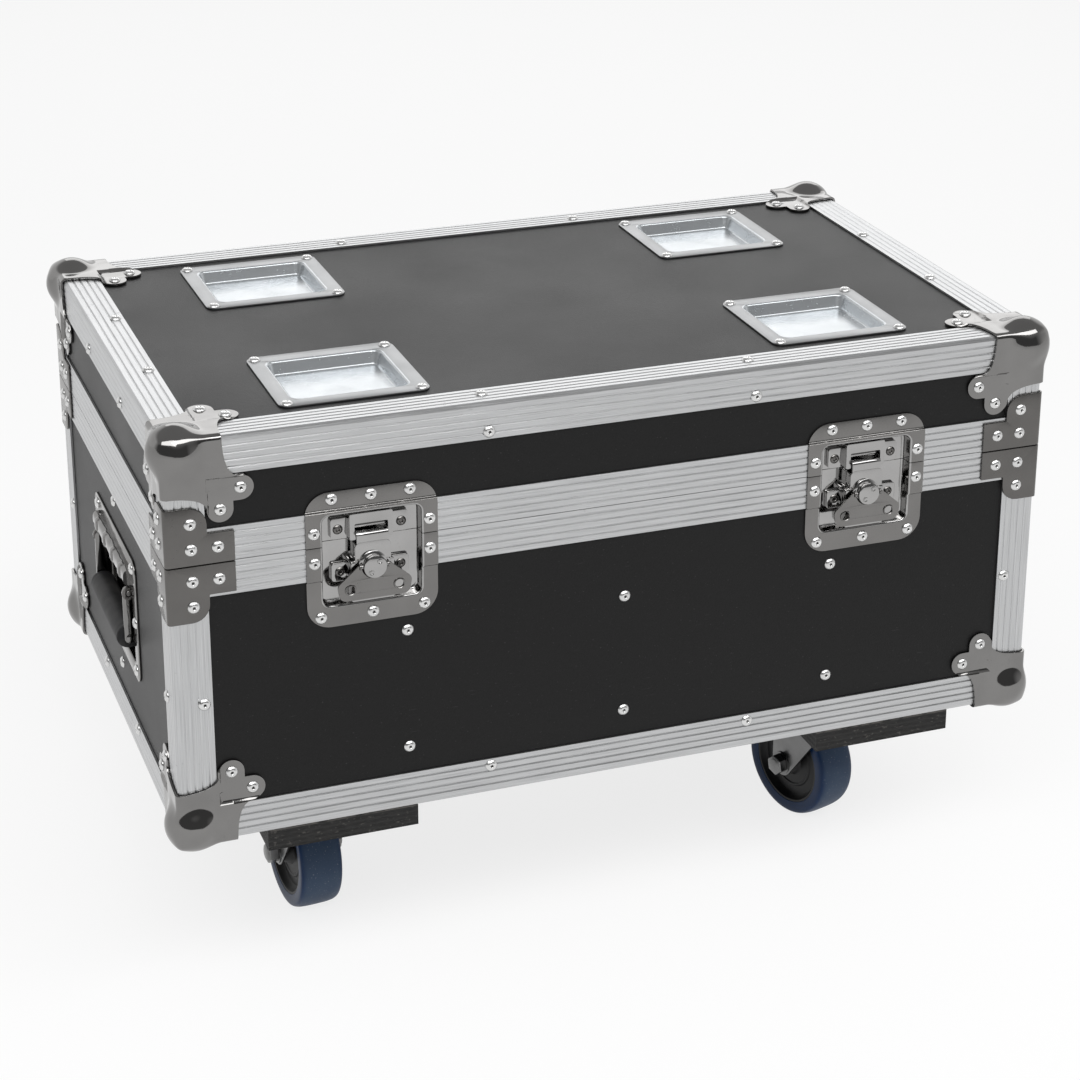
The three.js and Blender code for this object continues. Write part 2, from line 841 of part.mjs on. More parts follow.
function latchDish() {
  const seatHalf = clawSeatWidth / 2;
  const lowEnd = -latchRecessBelow - dishMetal / 2;
  const boxTop = -bodyTopBelowJoint;
  const box = block(-keeperHalf, keeperHalf, lowEnd, boxTop, latchUnder, latchBodyProud);
  const seat = block(-seatHalf, seatHalf, lowEnd, -clawSeatTop, latchUnder, latchBodyProud);
  const pads = onBothSides((side) => sideBlock(
    side,
    seatHalf,
    keeperHalf + padWidth,
    -lowPadTop - lowPadHeight,
    -lowPadTop,
    latchUnder,
    latchFloor + padProud,
  ));
  return join(halfOf(latchPressing(), -1), box, seat, pads);
}

const clawBack = latchBodyProud + gap;
const clawFront = clawBack + clawMetal;

function latchClaw() {
  const half = clawWidth / 2;
  const neckHalf = slotWidth / 2 - 2 * gap;
  const tongueBottom = slotBottom + gap;
  const tongueTop = tongueBottom + clawMetal;
  const face = outline([
    [-half, -clawBottom],
    [half, -clawBottom],
    [half, clawNeck - clawMetal],
    [neckHalf, clawNeck],
    [neckHalf, tongueTop],
    [-neckHalf, tongueTop],
    [-neckHalf, clawNeck],
    [-half, clawNeck - clawMetal],
  ]);
  const tongue = block(-neckHalf, neckHalf, tongueBottom, tongueTop, clawFront - clawTongue, clawFront);
  const returns = onBothSides((side) => (
    sideBlock(side, half - clawMetal, half, -clawBottom, -clawSeatTop, clawBack - clawFlange, clawFront)
  ));
  const round = new THREE.Matrix4().makeTranslation(0, -drumDrop, 0);
  const notch = placed(disc(clawNotch, clawBack - overrun, clawFront + overrun, midSides), round);
  return cut(join(slab(face, clawBack, clawFront), tongue, returns), notch);
}

// The drum and the wing are drawn round the drum's own axis
function latchDrum() {
  const waist = drumRadius - drumGroove;
  const knob = turned([
    [0, clawBack],
    [drumCollar, clawBack],
    [drumCollar, drumCollarProud],
    [waist, drumCollarProud + drumGroove],
    [waist, pivotProud],
    [drumRadius, pivotProud + drumGroove],
    [drumRadius, drumProud - drumGroove],
    [drumRadius - drumGroove, drumProud],
    [0, drumProud],
  ], midSides);
  return join(knob, rodX(pivotPin, -pivotPinReach, pivotPinReach, 0, pivotProud, smallSides));
}

function latchWing() {
  const back = pivotProud - wingMetal / 2;
  const front = back + wingMetal;
  const shape = new THREE.Shape();
  shape.moveTo(-wingTopHalf, 0);
  shape.lineTo(-wingTipHalf, -wingTipDrop);
  shape.absarc(wingCorner - wingTipHalf, wingCorner - wingDrop, wingCorner, Math.PI, 1.5 * Math.PI);
  shape.absarc(wingTipHalf - wingCorner, wingCorner - wingDrop, wingCorner, 1.5 * Math.PI, 2 * Math.PI);
  shape.lineTo(wingTipHalf, -wingTipDrop);
  shape.lineTo(wingTopHalf, 0);
  const below = back - overrun;
  const above = front + overrun;
  const holes = onBothSides((side) => placed(
    disc(wingHole, below, above, smallSides),
    new THREE.Matrix4().makeTranslation(side * wingHoleSide, -wingHoleDrop, 0),
  ));
  const plate = cut(slab(shape, back, front), disc(wingNotch, below, above, midSides), holes);
  const knuckles = onBothSides((side) => {
    const ends = [side * knuckleInner, side * knuckleOuter];
    return rodX(knuckleRadius, Math.min(...ends), Math.max(...ends), 0, pivotProud, smallSides);
  });
  const boreRadius = clearRadius(pivotPin, smallSides);
  const bore = rodX(boreRadius, -knuckleOuter, knuckleOuter, 0, pivotProud, smallSides);
  return cut(join(plate, knuckles), bore);
}

latchPlaces.forEach(({ name, frame }) => {
  addPiece(frame, `latch_dish_${name}`, latchDish(), nickel);
  addPiece(frame, `latch_keeper_${name}`, latchKeeper(), nickel);
  addPiece(frame, `latch_claw_${name}`, latchClaw(), nickel);
  addPiece(frame, `latch_drum_${name}`, latchDrum(), nickel).position.y = -drumDrop;
  addPiece(frame, `latch_wing_${name}`, latchWing(), nickel).position.y = -drumDrop;
});

// Handle: dish with its cover, bail and grip, drawn like the latch but round the dish's middle
const bailAxis = { y: bailPivotUp, z: bailPivotProud };

// A body with the given outline in Y and Z, between two places along X
function slabX(shape, x0, x1, curveSegments = cornerSteps) {
  const toX = new THREE.Matrix4().makeBasis(
    new THREE.Vector3(0, 1, 0),
    new THREE.Vector3(0, 0, 1),
    new THREE.Vector3(1, 0, 0),
  );
  return placed(slab(shape, x0, x1, curveSegments), toX);
}

function slabSide(shape, side, near, far, curveSegments = cornerSteps) {
  return slabX(shape, Math.min(side * near, side * far), Math.max(side * near, side * far), curveSegments);
}

function coverOutline(swell) {
  const back = panelSeat + dishMetal / 2;
  const front = coverProud + swell;
  const radius = coverRound + swell;
  const shape = new THREE.Shape();
  shape.moveTo(coverBottom - swell, back);
  shape.lineTo(coverTop + swell, back);
  shape.absarc(coverTop + swell - radius, front - radius, radius, 0, Math.PI / 2);
  shape.absarc(coverBottom - swell + radius, front - radius, radius, Math.PI / 2, Math.PI);
  shape.closePath();
  return shape;
}

function handleDish() {
  const half = handleWidth / 2;
  const tall = handleTall / 2;
  const side = handleRecessWidth / 2;
  const floor = -handleDepth;
  const flangeShape = roundedRectangle(-half, half, -tall, tall, handleCorner);
  const flange = slab(flangeShape, panelSeat, panelSeat + dishMetal);
  const tub = slab(
    roundedRectangle(
      -side - dishMetal,
      side + dishMetal,
      -handleRecessBottom - dishMetal,
      handleRecessTop + dishMetal,
      handleRecessCorner + dishMetal,
    ),
    floor - dishMetal,
    panelSeat + dishMetal / 2,
    smallCornerSteps,
  );
  const recess = slab(
    roundedRectangle(-side, side, -handleRecessBottom, handleRecessTop, handleRecessCorner),
    floor,
    overrun,
    smallCornerSteps,
  );
  const pitch = coverWidth / coverRibs;
  const ribs = [];
  for (let i = 0; i < coverRibs; i += 1) {
    const middle = (i + 1 / 2) * pitch - coverWidth / 2;
    const ends = [middle - coverRibWidth / 2, middle + coverRibWidth / 2];
    ribs.push(slabX(coverOutline(coverRibProud), ...ends, smallCornerSteps));
  }
  const cover = slabX(coverOutline(0), -coverWidth / 2, coverWidth / 2, smallCornerSteps);
  const earNear = bailSide + bailBarMetal + gap;
  const ear = new THREE.Shape();
  ear.moveTo(bailAxis.y - bailEarRadius, floor - dishMetal / 2);
  ear.lineTo(bailAxis.y + bailEarRadius, floor - dishMetal / 2);
  ear.absarc(bailAxis.y, bailAxis.z, bailEarRadius, 0, Math.PI);
  ear.closePath();
  const ears = onBothSides((away) => slabSide(ear, away, earNear, earNear + bailEar));
  const reach = earNear + bailEar + gap;
  const bore = rodX(clearRadius(bailPin, smallSides), -reach, reach, bailAxis.y, bailAxis.z, smallSides);
  return join(cut(join(flange, tub), recess), cover, ...ribs, cut(ears, bore));
}

function handleBail() {
  const half = bailBarWidth / 2;
  const gripY = bailAxis.y - bailDrop;
  const bar = new THREE.Shape();
  bar.moveTo(bailAxis.y, bailAxis.z - half);
  bar.absarc(bailAxis.y, bailAxis.z, half, -Math.PI / 2, Math.PI / 2);
  bar.lineTo(gripY, gripProud + half);
  bar.absarc(gripY, gripProud, half, Math.PI / 2, 1.5 * Math.PI);
  bar.closePath();
  const bars = onBothSides((side) => slabSide(bar, side, bailSide, bailSide + bailBarMetal));
  const pinEnd = bailSide + bailBarMetal + gap + bailEar;
  const pinStart = bailSide + bailBarMetal / 2;
  const pins = onBothSides((side) => {
    const ends = [side * pinStart, side * pinEnd];
    return rodX(bailPin, Math.min(...ends), Math.max(...ends), bailAxis.y, bailAxis.z, smallSides);
  });
  const rodEnd = bailSide + bailBarMetal / 2;
  return join(bars, pins, rodX(gripRod, -rodEnd, rodEnd, gripY, gripProud, smallSides));
}

function handleGrip() {
  const gripY = bailAxis.y - bailDrop;
  const half = gripLength / 2;
  const bevel = (gripRadius - gripRod) * gripBevelShare;
  const bore = clearRadius(gripRod, midSides);
  const skin = turned([
    [bore, -half],
    [gripRadius - bevel, -half],
    [gripRadius, bevel - half],
    [gripRadius, half - bevel],
    [gripRadius - bevel, half],
    [bore, half],
    [bore, -half],
  ], midSides);
  const matrix = new THREE.Matrix4().makeRotationY(Math.PI / 2);
  matrix.setPosition(0, gripY, gripProud);
  return placed(skin, matrix);
}

handlePlaces.forEach(({ name, frame }) => {
  addPiece(frame, `handle_dish_${name}`, handleDish(), nickel);
  addPiece(frame, `handle_bail_${name}`, handleBail(), nickel);
  addPiece(frame, `handle_grip_${name}`, handleGrip(), blackRubber);
});

// Hinges
const hingeBack = gap;
const hingePitch = hingeWidth / hingeKnuckles;

function hingeLeaf(up, isOurs) {
  const inner = up * halfJoint;
  const outer = up * hingeLeafHeight;
  const plate = block(
    -hingeWidth / 2,
    hingeWidth / 2,
    Math.min(inner, outer),
    Math.max(inner, outer),
    hingeBack,
    hingeBack + hingeMetal,
  );
  const barrels = [];
  const notches = [];
  for (let i = 0; i < hingeKnuckles; i += 1) {
    const start = i * hingePitch - hingeWidth / 2;
    const end = start + hingePitch;
    if (isOurs(i)) {
      const from = start + hingeSpace / 2;
      const to = end - hingeSpace / 2;
      barrels.push(rodX(hingeKnuckleRadius, from, to, 0, hingePinProud, smallSides));
    } else {
      const depth = hingeKnuckleRadius + jointGap;
      const from = start - hingeSpace / 2;
      const to = end + hingeSpace / 2;
      notches.push(block(from, to, -depth, depth, hingeBack - overrun, hingePinProud));
    }
  }
  return join(cut(plate, ...notches), ...barrels);
}

function baseHingeLeaf() {
  const pinEnd = hingeWidth / 2 - hingePitch / 2;
  const pin = rodX(hingePinRadius, -pinEnd, pinEnd, 0, hingePinProud, smallSides);
  return join(hingeLeaf(-1, (i) => i % 2 === 0), pin);
}

function lidHingeLeaf() {
  const boreRadius = clearRadius(hingePinRadius, smallSides);
  const bore = rodX(boreRadius, -hingeWidth, hingeWidth, 0, hingePinProud, smallSides);
  return cut(hingeLeaf(1, (i) => i % 2 === 1), bore);
}

hingePlaces.forEach(({ name, frame }) => {
  addPiece(frame, `hinge_base_leaf_${name}`, baseHingeLeaf(), zinc);
  addPiece(frame, `hinge_lid_leaf_${name}`, lidHingeLeaf(), zinc);
});

// Castor cups in the lid
function middleRectangle(length, width, radius) {
  return roundedRectangle(-length / 2, length / 2, -width / 2, width / 2, radius);
}

function castorCup() {
  const flangeTop = panelSeat + dishMetal;
  const flangeShape = middleRectangle(cupLength, cupWidth, cupCorner);
  const flange = slab(flangeShape, panelSeat, flangeTop, smallCornerSteps);
  const pocketShape = (grow) => (
    middleRectangle(cupPocketLength + 2 * grow, cupPocketWidth + 2 * grow, cupPocketCorner)
  );
  const pocket = (swell, inset, z0, z1) => tapered(pocketShape(swell - inset), z0, pocketShape(swell), z1);
  const tub = pocket(dishMetal, cupTaper, -cupDepth - dishMetal, panelSeat + dishMetal / 2);
  return cut(join(flange, tub), pocket(0, cupTaper, -cupDepth, flangeTop + overrun));
}

cupPlaces.forEach(({ name, frame }) => {
  addPiece(frame, `castor_cup_${name}`, castorCup(), zinc);
});

// Castor boards
[{ name: 'left', side: -1 }, { name: 'right', side: 1 }].forEach(({ name, side }) => {
  const middle = side * (halfLength - boardFromEnd);
  const reach = halfDepth - boardInset;
  const board = block(
    middle - boardWidth / 2,
    middle + boardWidth / 2,
    -reach,
    reach,
    castorHeight,
    bodyBottom - gap,
  );
  addPiece(base, `castor_board_${name}`, board, blackWood);
});

// Castors, drawn with the floor at z = 0 and the kingpin on the Z axis, trailing towards +Y
const plateTop = castorHeight - gap;
const plateUnder = plateTop - castorPlateMetal;
const raceUnder = plateUnder - raceHeight;
const dishTop = raceUnder - gap;
const crownTop = plateTop - forkCrownDrop;
const crownUnder = crownTop - forkCrown;

function castorPlate() {
  const pressing = middleRectangle(castorPlateLength, castorPlateWidth, castorPlateCorner);
  const plate = slab(pressing, plateUnder, plateTop, smallCornerSteps);
  const race = disc(raceRadius, raceUnder, plateUnder + castorPlateMetal / 2, midSides);
  const headSeat = plateTop - kingpinHeadHeight - gap;
  return cut(
    join(plate, race),
    disc(clearRadius(kingpinRadius, smallSides), raceUnder - overrun, plateTop + overrun, smallSides),
    disc(clearRadius(kingpinHead, smallSides), headSeat, plateTop + overrun, smallSides),
  );
}

// Where the line from a point touches a round eye, as an angle on the eye
function touchAngle(fromY, fromZ, turn) {
  const toward = Math.atan2(fromZ - wheelRadius, fromY - castorTrail);
  const distance = Math.hypot(fromZ - wheelRadius, fromY - castorTrail);
  return toward + turn * Math.acos(forkEye / distance);
}

function castorFork() {
  const dish = turned([
    [0, crownTop - forkCrown / 2],
    [raceNeck, crownTop - forkCrown / 2],
    [raceNeck, crownTop],
    [raceDish, dishTop - raceDishHeight],
    [raceDish, dishTop],
    [0, dishTop],
  ], midSides);
  const crown = block(-forkTopHalf, forkTopHalf, -forkCrownFront, forkCrownRear, crownUnder, crownTop);
  const eye = new THREE.Shape();
  const frontTouch = touchAngle(-forkCrownFront, crownTop, 1);
  const rearTouch = touchAngle(forkCrownRear, crownTop, -1) + 2 * Math.PI;
  eye.absarc(castorTrail, wheelRadius, forkEye, frontTouch, rearTouch);
  eye.lineTo(forkCrownRear, crownTop);
  eye.lineTo(-forkCrownFront, crownTop);
  eye.closePath();
  const legNear = hubBossWidth / 2 + jointGap;
  const legs = onBothSides((side) => slabSide(eye, side, legNear, legNear + forkMetal));
  const kingpin = turned([
    [0, dishTop - gap],
    [kingpinRadius, dishTop - gap],
    [kingpinRadius, plateTop - kingpinHeadHeight],
    [kingpinHead, plateTop - kingpinHeadHeight],
    [kingpinHead, plateTop - gap],
    [0, plateTop - gap],
  ], smallSides);
  const axleEnd = legNear + forkMetal;
  const axle = rodX(axleRadius, -axleEnd, axleEnd, castorTrail, wheelRadius, smallSides);
  const nuts = onBothSides((side) => {
    const ends = [side * (axleEnd - forkMetal / 2), side * (axleEnd + axleHeadHeight)];
    return rodX(axleHead, Math.min(...ends), Math.max(...ends), castorTrail, wheelRadius, nutSides);
  });
  return join(dish, crown, legs, kingpin, axle, nuts);
}

function castorWheel() {
  const half = wheelWidth / 2;
  const boss = hubBossWidth / 2;
  const rim = wheelRadius * wheelRimShare;
  const web = half - hubRecess;
  const bore = clearRadius(axleRadius, wheelSides);
  const right = [
    [bore, boss],
    [hubBoss, web],
    [rim, web],
    [wheelRadius - wheelShoulder, half],
    [wheelRadius, half - wheelShoulder],
  ];
  const left = right.map(([r, x]) => [r, -x]);
  const profile = [...left, ...right.slice().reverse(), left[0]];
  const body = turned(profile, wheelSides);
  const matrix = new THREE.Matrix4().makeRotationY(Math.PI / 2);
  matrix.setPosition(0, castorTrail, wheelRadius);
  return placed(body, matrix);
}

const castorX = halfLength - castorFromEnd;
const castorY = halfDepth - castorFromFront;
const castorPlaces = [
  { name: 'front_left', x: -castorX, y: -castorY, angle: swivelAngles[0] },
  { name: 'front_right', x: castorX, y: -castorY, angle: swivelAngles[1] },
  { name: 'rear_left', x: -castorX, y: castorY, angle: swivelAngles[2] },
  { name: 'rear_right', x: castorX, y: castorY, angle: swivelAngles[3] },
];
castorPlaces.forEach(({ name, x, y, angle }) => {
  const fixed = turnedGroup(caseModel, x, y, 0);
  addPiece(fixed, `castor_plate_${name}`, castorPlate(), zinc);
  const swivel = turnedGroup(caseModel, x, y, 0, angle);
  addPiece(swivel, `castor_fork_${name}`, castorFork(), zinc);
  addPiece(swivel, `castor_wheel_${name}`, castorWheel(), blueRubber);
});

export default caseModel;
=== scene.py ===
import math

import bmesh
import bpy
import numpy as np
from mathutils import Matrix, Vector
from mathutils.geometry import tessellate_polygon


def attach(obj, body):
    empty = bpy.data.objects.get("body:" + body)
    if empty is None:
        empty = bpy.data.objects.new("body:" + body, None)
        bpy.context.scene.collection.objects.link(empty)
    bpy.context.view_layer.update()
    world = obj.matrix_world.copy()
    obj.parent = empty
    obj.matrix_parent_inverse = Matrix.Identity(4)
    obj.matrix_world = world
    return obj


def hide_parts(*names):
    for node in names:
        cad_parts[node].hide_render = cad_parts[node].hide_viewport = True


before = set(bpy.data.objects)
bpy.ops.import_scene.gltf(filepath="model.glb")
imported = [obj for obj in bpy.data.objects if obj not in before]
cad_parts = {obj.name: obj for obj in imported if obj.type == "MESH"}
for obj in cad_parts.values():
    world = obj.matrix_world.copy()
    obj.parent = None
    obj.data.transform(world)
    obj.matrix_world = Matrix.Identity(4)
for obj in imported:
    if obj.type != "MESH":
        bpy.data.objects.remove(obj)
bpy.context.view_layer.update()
mm = 0.001

# Levels of the case, in millimetres above the floor, and its half sizes over the aluminium
case = {
    "halfLength": 365, "halfDepth": 220, "underside": 146, "joint": 380.5, "top": 480,
    "panelInset": 2,  # panels lie this far behind the aluminium
    "gap": 0.3,  # air between a fitting and what carries it
}
cornerSigns = {"front_left": (-1, -1), "front_right": (1, -1), "rear_right": (1, 1), "rear_left": (-1, 1)}


# Places: 4 x 4 matrices on points in millimetres

def turnZ(degrees):
    c, s = math.cos(math.radians(degrees)), math.sin(math.radians(degrees))
    return np.array([[c, -s, 0, 0], [s, c, 0, 0], [0, 0, 1, 0], [0, 0, 0, 1.0]])


def turnX(degrees):
    c, s = math.cos(math.radians(degrees)), math.sin(math.radians(degrees))
    return np.array([[1, 0, 0, 0], [0, c, -s, 0], [0, s, c, 0], [0, 0, 0, 1.0]])


def turnY(degrees):
    c, s = math.cos(math.radians(degrees)), math.sin(math.radians(degrees))
    return np.array([[c, 0, s, 0], [0, 1, 0, 0], [-s, 0, c, 0], [0, 0, 0, 1.0]])


def move(x, y, z):
    place = np.eye(4)
    place[:3, 3] = x, y, z
    return place


# Stands a flat sheet across X: its outline reads as Y and Z, its thickness runs along X
acrossX = np.array([[0, 0, 1, 0], [1, 0, 0, 0], [0, 1, 0, 0], [0, 0, 0, 1.0]])


# A wall's own frame: X along the wall, Y up, Z out of it; turn 0 is the front, 90 the right wall
def onWall(turn, along, level):
    reach = case["halfDepth"] if turn % 180 == 0 else case["halfLength"]
    return turnZ(turn) @ move(along, -reach, level) @ turnX(90)


# Each point times the place's turn, plus its shift
def applied(place, points):
    return points @ place[:3, :3].T + place[:3, 3]


# 3 t^2 - 2 t^3, on a share held between 0 and 1
def eased(share):
    t = np.clip(share, 0, 1)
    return t * t * (3 - 2 * t)


# Forms: (points, faces), worked out as whole arrays

# Quads between the rows of a grid of points, whose columns run round and meet
def gridForm(grid, capStart=False, capEnd=False):
    rows, columns = grid.shape[:2]
    r, c = np.meshgrid(np.arange(rows - 1), np.arange(columns), indexing="ij")
    n = (c + 1) % columns
    quads = np.stack([r * columns + c, r * columns + n, (r + 1) * columns + n, (r + 1) * columns + c], -1)
    faces = quads.reshape(-1, 4).tolist()
    if capStart:
        faces.append(list(range(columns))[::-1])
    if capEnd:
        faces.append(list(range((rows - 1) * columns, rows * columns)))
    return grid.reshape(-1, 3), faces


# A profile of radius and height turned round Z: x = r cos a, y = r sin a; with a bore, the profile closes
# on itself
def lathe(profile, steps, start=0.0, bore=False):
    profile = np.asarray(list(profile) + [profile[0]] if bore else profile, float)
    angle = np.arange(steps) * 2 * math.pi / steps + start
    ring = np.stack([np.cos(angle), np.sin(angle)], -1)
    flat = profile[:, None, :1] * ring[None]
    high = np.broadcast_to(profile[:, None, 1:], flat.shape[:2] + (1,))
    capStart, capEnd = (not bore and profile[end, 0] > 0 for end in (0, -1))
    return gridForm(np.concatenate([flat, high], -1), capStart, capEnd)


# Four straight sides joined by quarter circles, anticlockwise
def roundedRect(halfX, halfY, radius, centre=(0, 0), arcSteps=8, sideSteps=1):
    turns = np.linspace(0, math.pi / 2, arcSteps + 1)
    arcs = []
    for quarter, (signX, signY) in enumerate([(1, 1), (-1, 1), (-1, -1), (1, -1)]):
        angle = turns + quarter * math.pi / 2
        x = centre[0] + signX * (halfX - radius) + radius * np.cos(angle)
        y = centre[1] + signY * (halfY - radius) + radius * np.sin(angle)
        arcs.append(np.stack([x, y], -1))
    ring = []
    share = np.arange(1, sideSteps)[:, None] / sideSteps
    for here, there in zip(arcs, arcs[1:] + arcs[:1]):
        ring += [here, here[-1] + share * (there[0] - here[-1])]
    return np.concatenate(ring)


# x = cx + r cos a, y = cy + r sin a
def circle(radius, centre=(0, 0), steps=24):
    angle = np.arange(steps) * 2 * math.pi / steps
    return np.stack([centre[0] + radius * np.cos(angle), centre[1] + radius * np.sin(angle)], -1)


# Corners of a polygon rounded: each becomes an arc between the points where its radius touches, and the
# arc turns evenly from the one to the other
def roundedPolygon(points, radii, steps=6):
    points = np.asarray(points, float)
    before, after = np.roll(points, 1, 0), np.roll(points, -1, 0)
    out = []
    for here, last, following, radius in zip(points, before, after, radii):
        a, b = last - here, following - here
        a, b = a / np.linalg.norm(a), b / np.linalg.norm(b)
        half = math.acos(np.clip(a @ b, -1, 1)) / 2
        centre = here + (a + b) / np.linalg.norm(a + b) * radius / math.sin(half)
        start, end = here + a * radius / math.tan(half), here + b * radius / math.tan(half)
        u, v = (start - centre) / radius, (end - centre) / radius
        angle = math.acos(np.clip(u @ v, -1, 1))
        t = np.linspace(0, 1, steps + 1)[:, None]
        out.append(centre + radius * (np.sin((1 - t) * angle) * u + np.sin(t * angle) * v) / math.sin(angle))
    return np.concatenate(out)


# Half the sum of x y' - x' y over an outline's sides: above 0 where it runs anticlockwise
def areaOf(outline):
    x, y = outline[:, 0], outline[:, 1]
    return (x * np.roll(y, -1) - y * np.roll(x, -1)).sum() / 2


# A flat sheet with holes: both faces filled and every outline walled
def plate(outline, low, high, holes=()):
    loops = [outline if areaOf(outline) > 0 else outline[::-1]]
    loops += [hole if areaOf(hole) < 0 else hole[::-1] for hole in holes]
    flat = np.concatenate(loops)
    count = len(flat)
    points = np.concatenate([np.column_stack([flat, np.full(count, float(level))]) for level in (low, high)])
    if holes:
        fill = tessellate_polygon([[Vector((x, y, 0)) for x, y in loop] for loop in loops])
        faces = [list(three) for three in fill] + [[i + count for i in three] for three in fill]
    else:
        faces = [list(range(count)), list(range(count, 2 * count))]
    first = 0
    for loop in loops:
        here = np.arange(len(loop))
        there = (here + 1) % len(loop)
        walls = np.stack([first + here, first + there, first + there + count, first + here + count], -1)
        faces += walls.tolist()
        first += len(loop)
    return points, faces


# A small block with rounded upright edges
def block(x0, x1, y0, y1, z0, z1, radius):
    outline = roundedRect((x1 - x0) / 2, (y1 - y0) / 2, radius, ((x0 + x1) / 2, (y0 + y1) / 2), 4)
    return plate(outline, z0, z1)


# The same block between two distances from the middle, to the left (-1) or right (1) of it
def sideBlock(side, near, far, *rest):
    return block(*sorted((side * near, side * far)), *rest)


# Centre of a shape that reaches this far above and below
def middleOf(above, below):
    return (0, (above - below) / 2)


# A pressed dish: a flat flange with rounded corners, and its recess as rings and levels. One arc rolls over
# the rim, r (1 - sin a) out and r (1 - cos a) down, the wall leans in, and a second turns onto the floor
def pressing(q, lip=None, lean=0.0, least=1, arcs=(6, 5), sideSteps=1):
    def ring(grow):
        half = (q["recessAbove"] + q["recessBelow"]) / 2
        return roundedRect(q["recessHalf"] + grow, half + grow, max(q["recessCorner"] + grow, least),
                           middleOf(q["recessAbove"], q["recessBelow"]), 8, sideSteps)

    half = (q["above"] + q["below"]) / 2
    outer = roundedRect(q["halfWidth"], half, q["corner"], middleOf(q["above"], q["below"]), 10)
    level, rim, foot = q["level"], q["rim"], q["foot"]
    mouth = ring(rim)
    start = lip(mouth[:, 1]) if lip else level
    rings, levels = [], []
    for a in np.linspace(0, math.pi / 2 - lean, arcs[0]):
        rings.append(ring(rim * (1 - np.sin(a))))
        levels.append(start - rim * (1 - np.cos(a)))
    for a in np.linspace(lean, math.pi / 2, arcs[1]):
        rings.append(ring(-foot * (1 - np.cos(a)) - q["wallIn"]))
        levels.append(-q["depth"] + foot * (1 - np.sin(a)))
    return plate(outer, level - q["metal"], level, [mouth]), rings, levels


# A stack of rings, each with its own level, closed at the last one
def ringStack(rings, levels):
    grid = np.stack([np.column_stack([ring, np.broadcast_to(level, len(ring))])
                     for ring, level in zip(rings, levels)])
    return gridForm(grid, capEnd=True)


# A form with its points carried to a place
def placed(form, place):
    return applied(place, form[0]), form[1]


# A turned form laid along X, towards the right (1) or the left (-1)
def alongX(form, y, z, sign=1, x=0):
    return placed(form, move(x, y, z) @ turnY(90 * sign))


# Half a profile of radius and height, with its mirror image before it
def bothEnds(profile):
    return [(r, -z) for r, z in profile] + profile[::-1]


# Half an outline, with its mirror image after it
def bothSides(outline):
    return outline + [(-x, y) for x, y in reversed(outline)]


# A rod of this radius and half length, with its ends' edges broken
def rod(radius, half, steps, edge=0):
    end = [(radius - edge, half), (radius, half - edge)] if edge else [(radius, half)]
    return lathe(bothEnds([(0, half)] + end), steps)


# The same sheet across X on both sides of the middle, with its inner face this far out
def sheetPair(sheet, inner, metal):
    return [placed(sheet, move(x, 0, 0) @ acrossX) for x in (inner, -inner - metal)]


# Forms set one after another, each one's faces counted on from the points before it
def joined(*forms):
    points, faces, first = [], [], 0
    for formPoints, formFaces in forms:
        points.append(formPoints)
        faces += [[i + first for i in face] for face in formFaces]
        first += len(formPoints)
    return np.concatenate(points), faces


# The same form at many places, with all points moved at once
def repeated(form, places):
    places = np.stack(places)
    points = np.einsum("kij,pj->kpi", places[:, :3, :3], form[0]) + places[:, None, :3, 3]
    count = len(form[0])
    faces = [[i + k * count for i in face] for k in range(len(places)) for face in form[1]]
    return points.reshape(-1, 3), faces


# Meshes

# Doubles merged, and faces turned outwards
def cleaned(bm, inside=None):
    bmesh.ops.remove_doubles(bm, verts=bm.verts, dist=2e-6)
    bmesh.ops.recalc_face_normals(bm, faces=bm.faces)
    if inside is not None:  # an open sheet faces away from this point
        centre = Vector(inside) * mm
        out = sum(face.normal.dot(face.calc_center_median() - centre) * face.calc_area() for face in bm.faces)
        if out < 0:
            bmesh.ops.reverse_faces(bm, faces=bm.faces)


# An edge loop is cut in along a plane
def split(bm, point, normal, **options):
    geom = bm.verts[:] + bm.edges[:] + bm.faces[:]
    return bmesh.ops.bisect_plane(bm, geom=geom, plane_co=Vector(point) * mm, plane_no=normal, **options)


# Everything on the far side of a plane is cut off, and the cut is filled
def trimmed(bm, point, normal):
    made = split(bm, point, normal, clear_outer=True, dist=1e-7)
    edges = [e for e in made["geom_cut"] if isinstance(e, bmesh.types.BMEdge) and e.is_boundary]
    bmesh.ops.holes_fill(bm, edges=edges, sides=0)


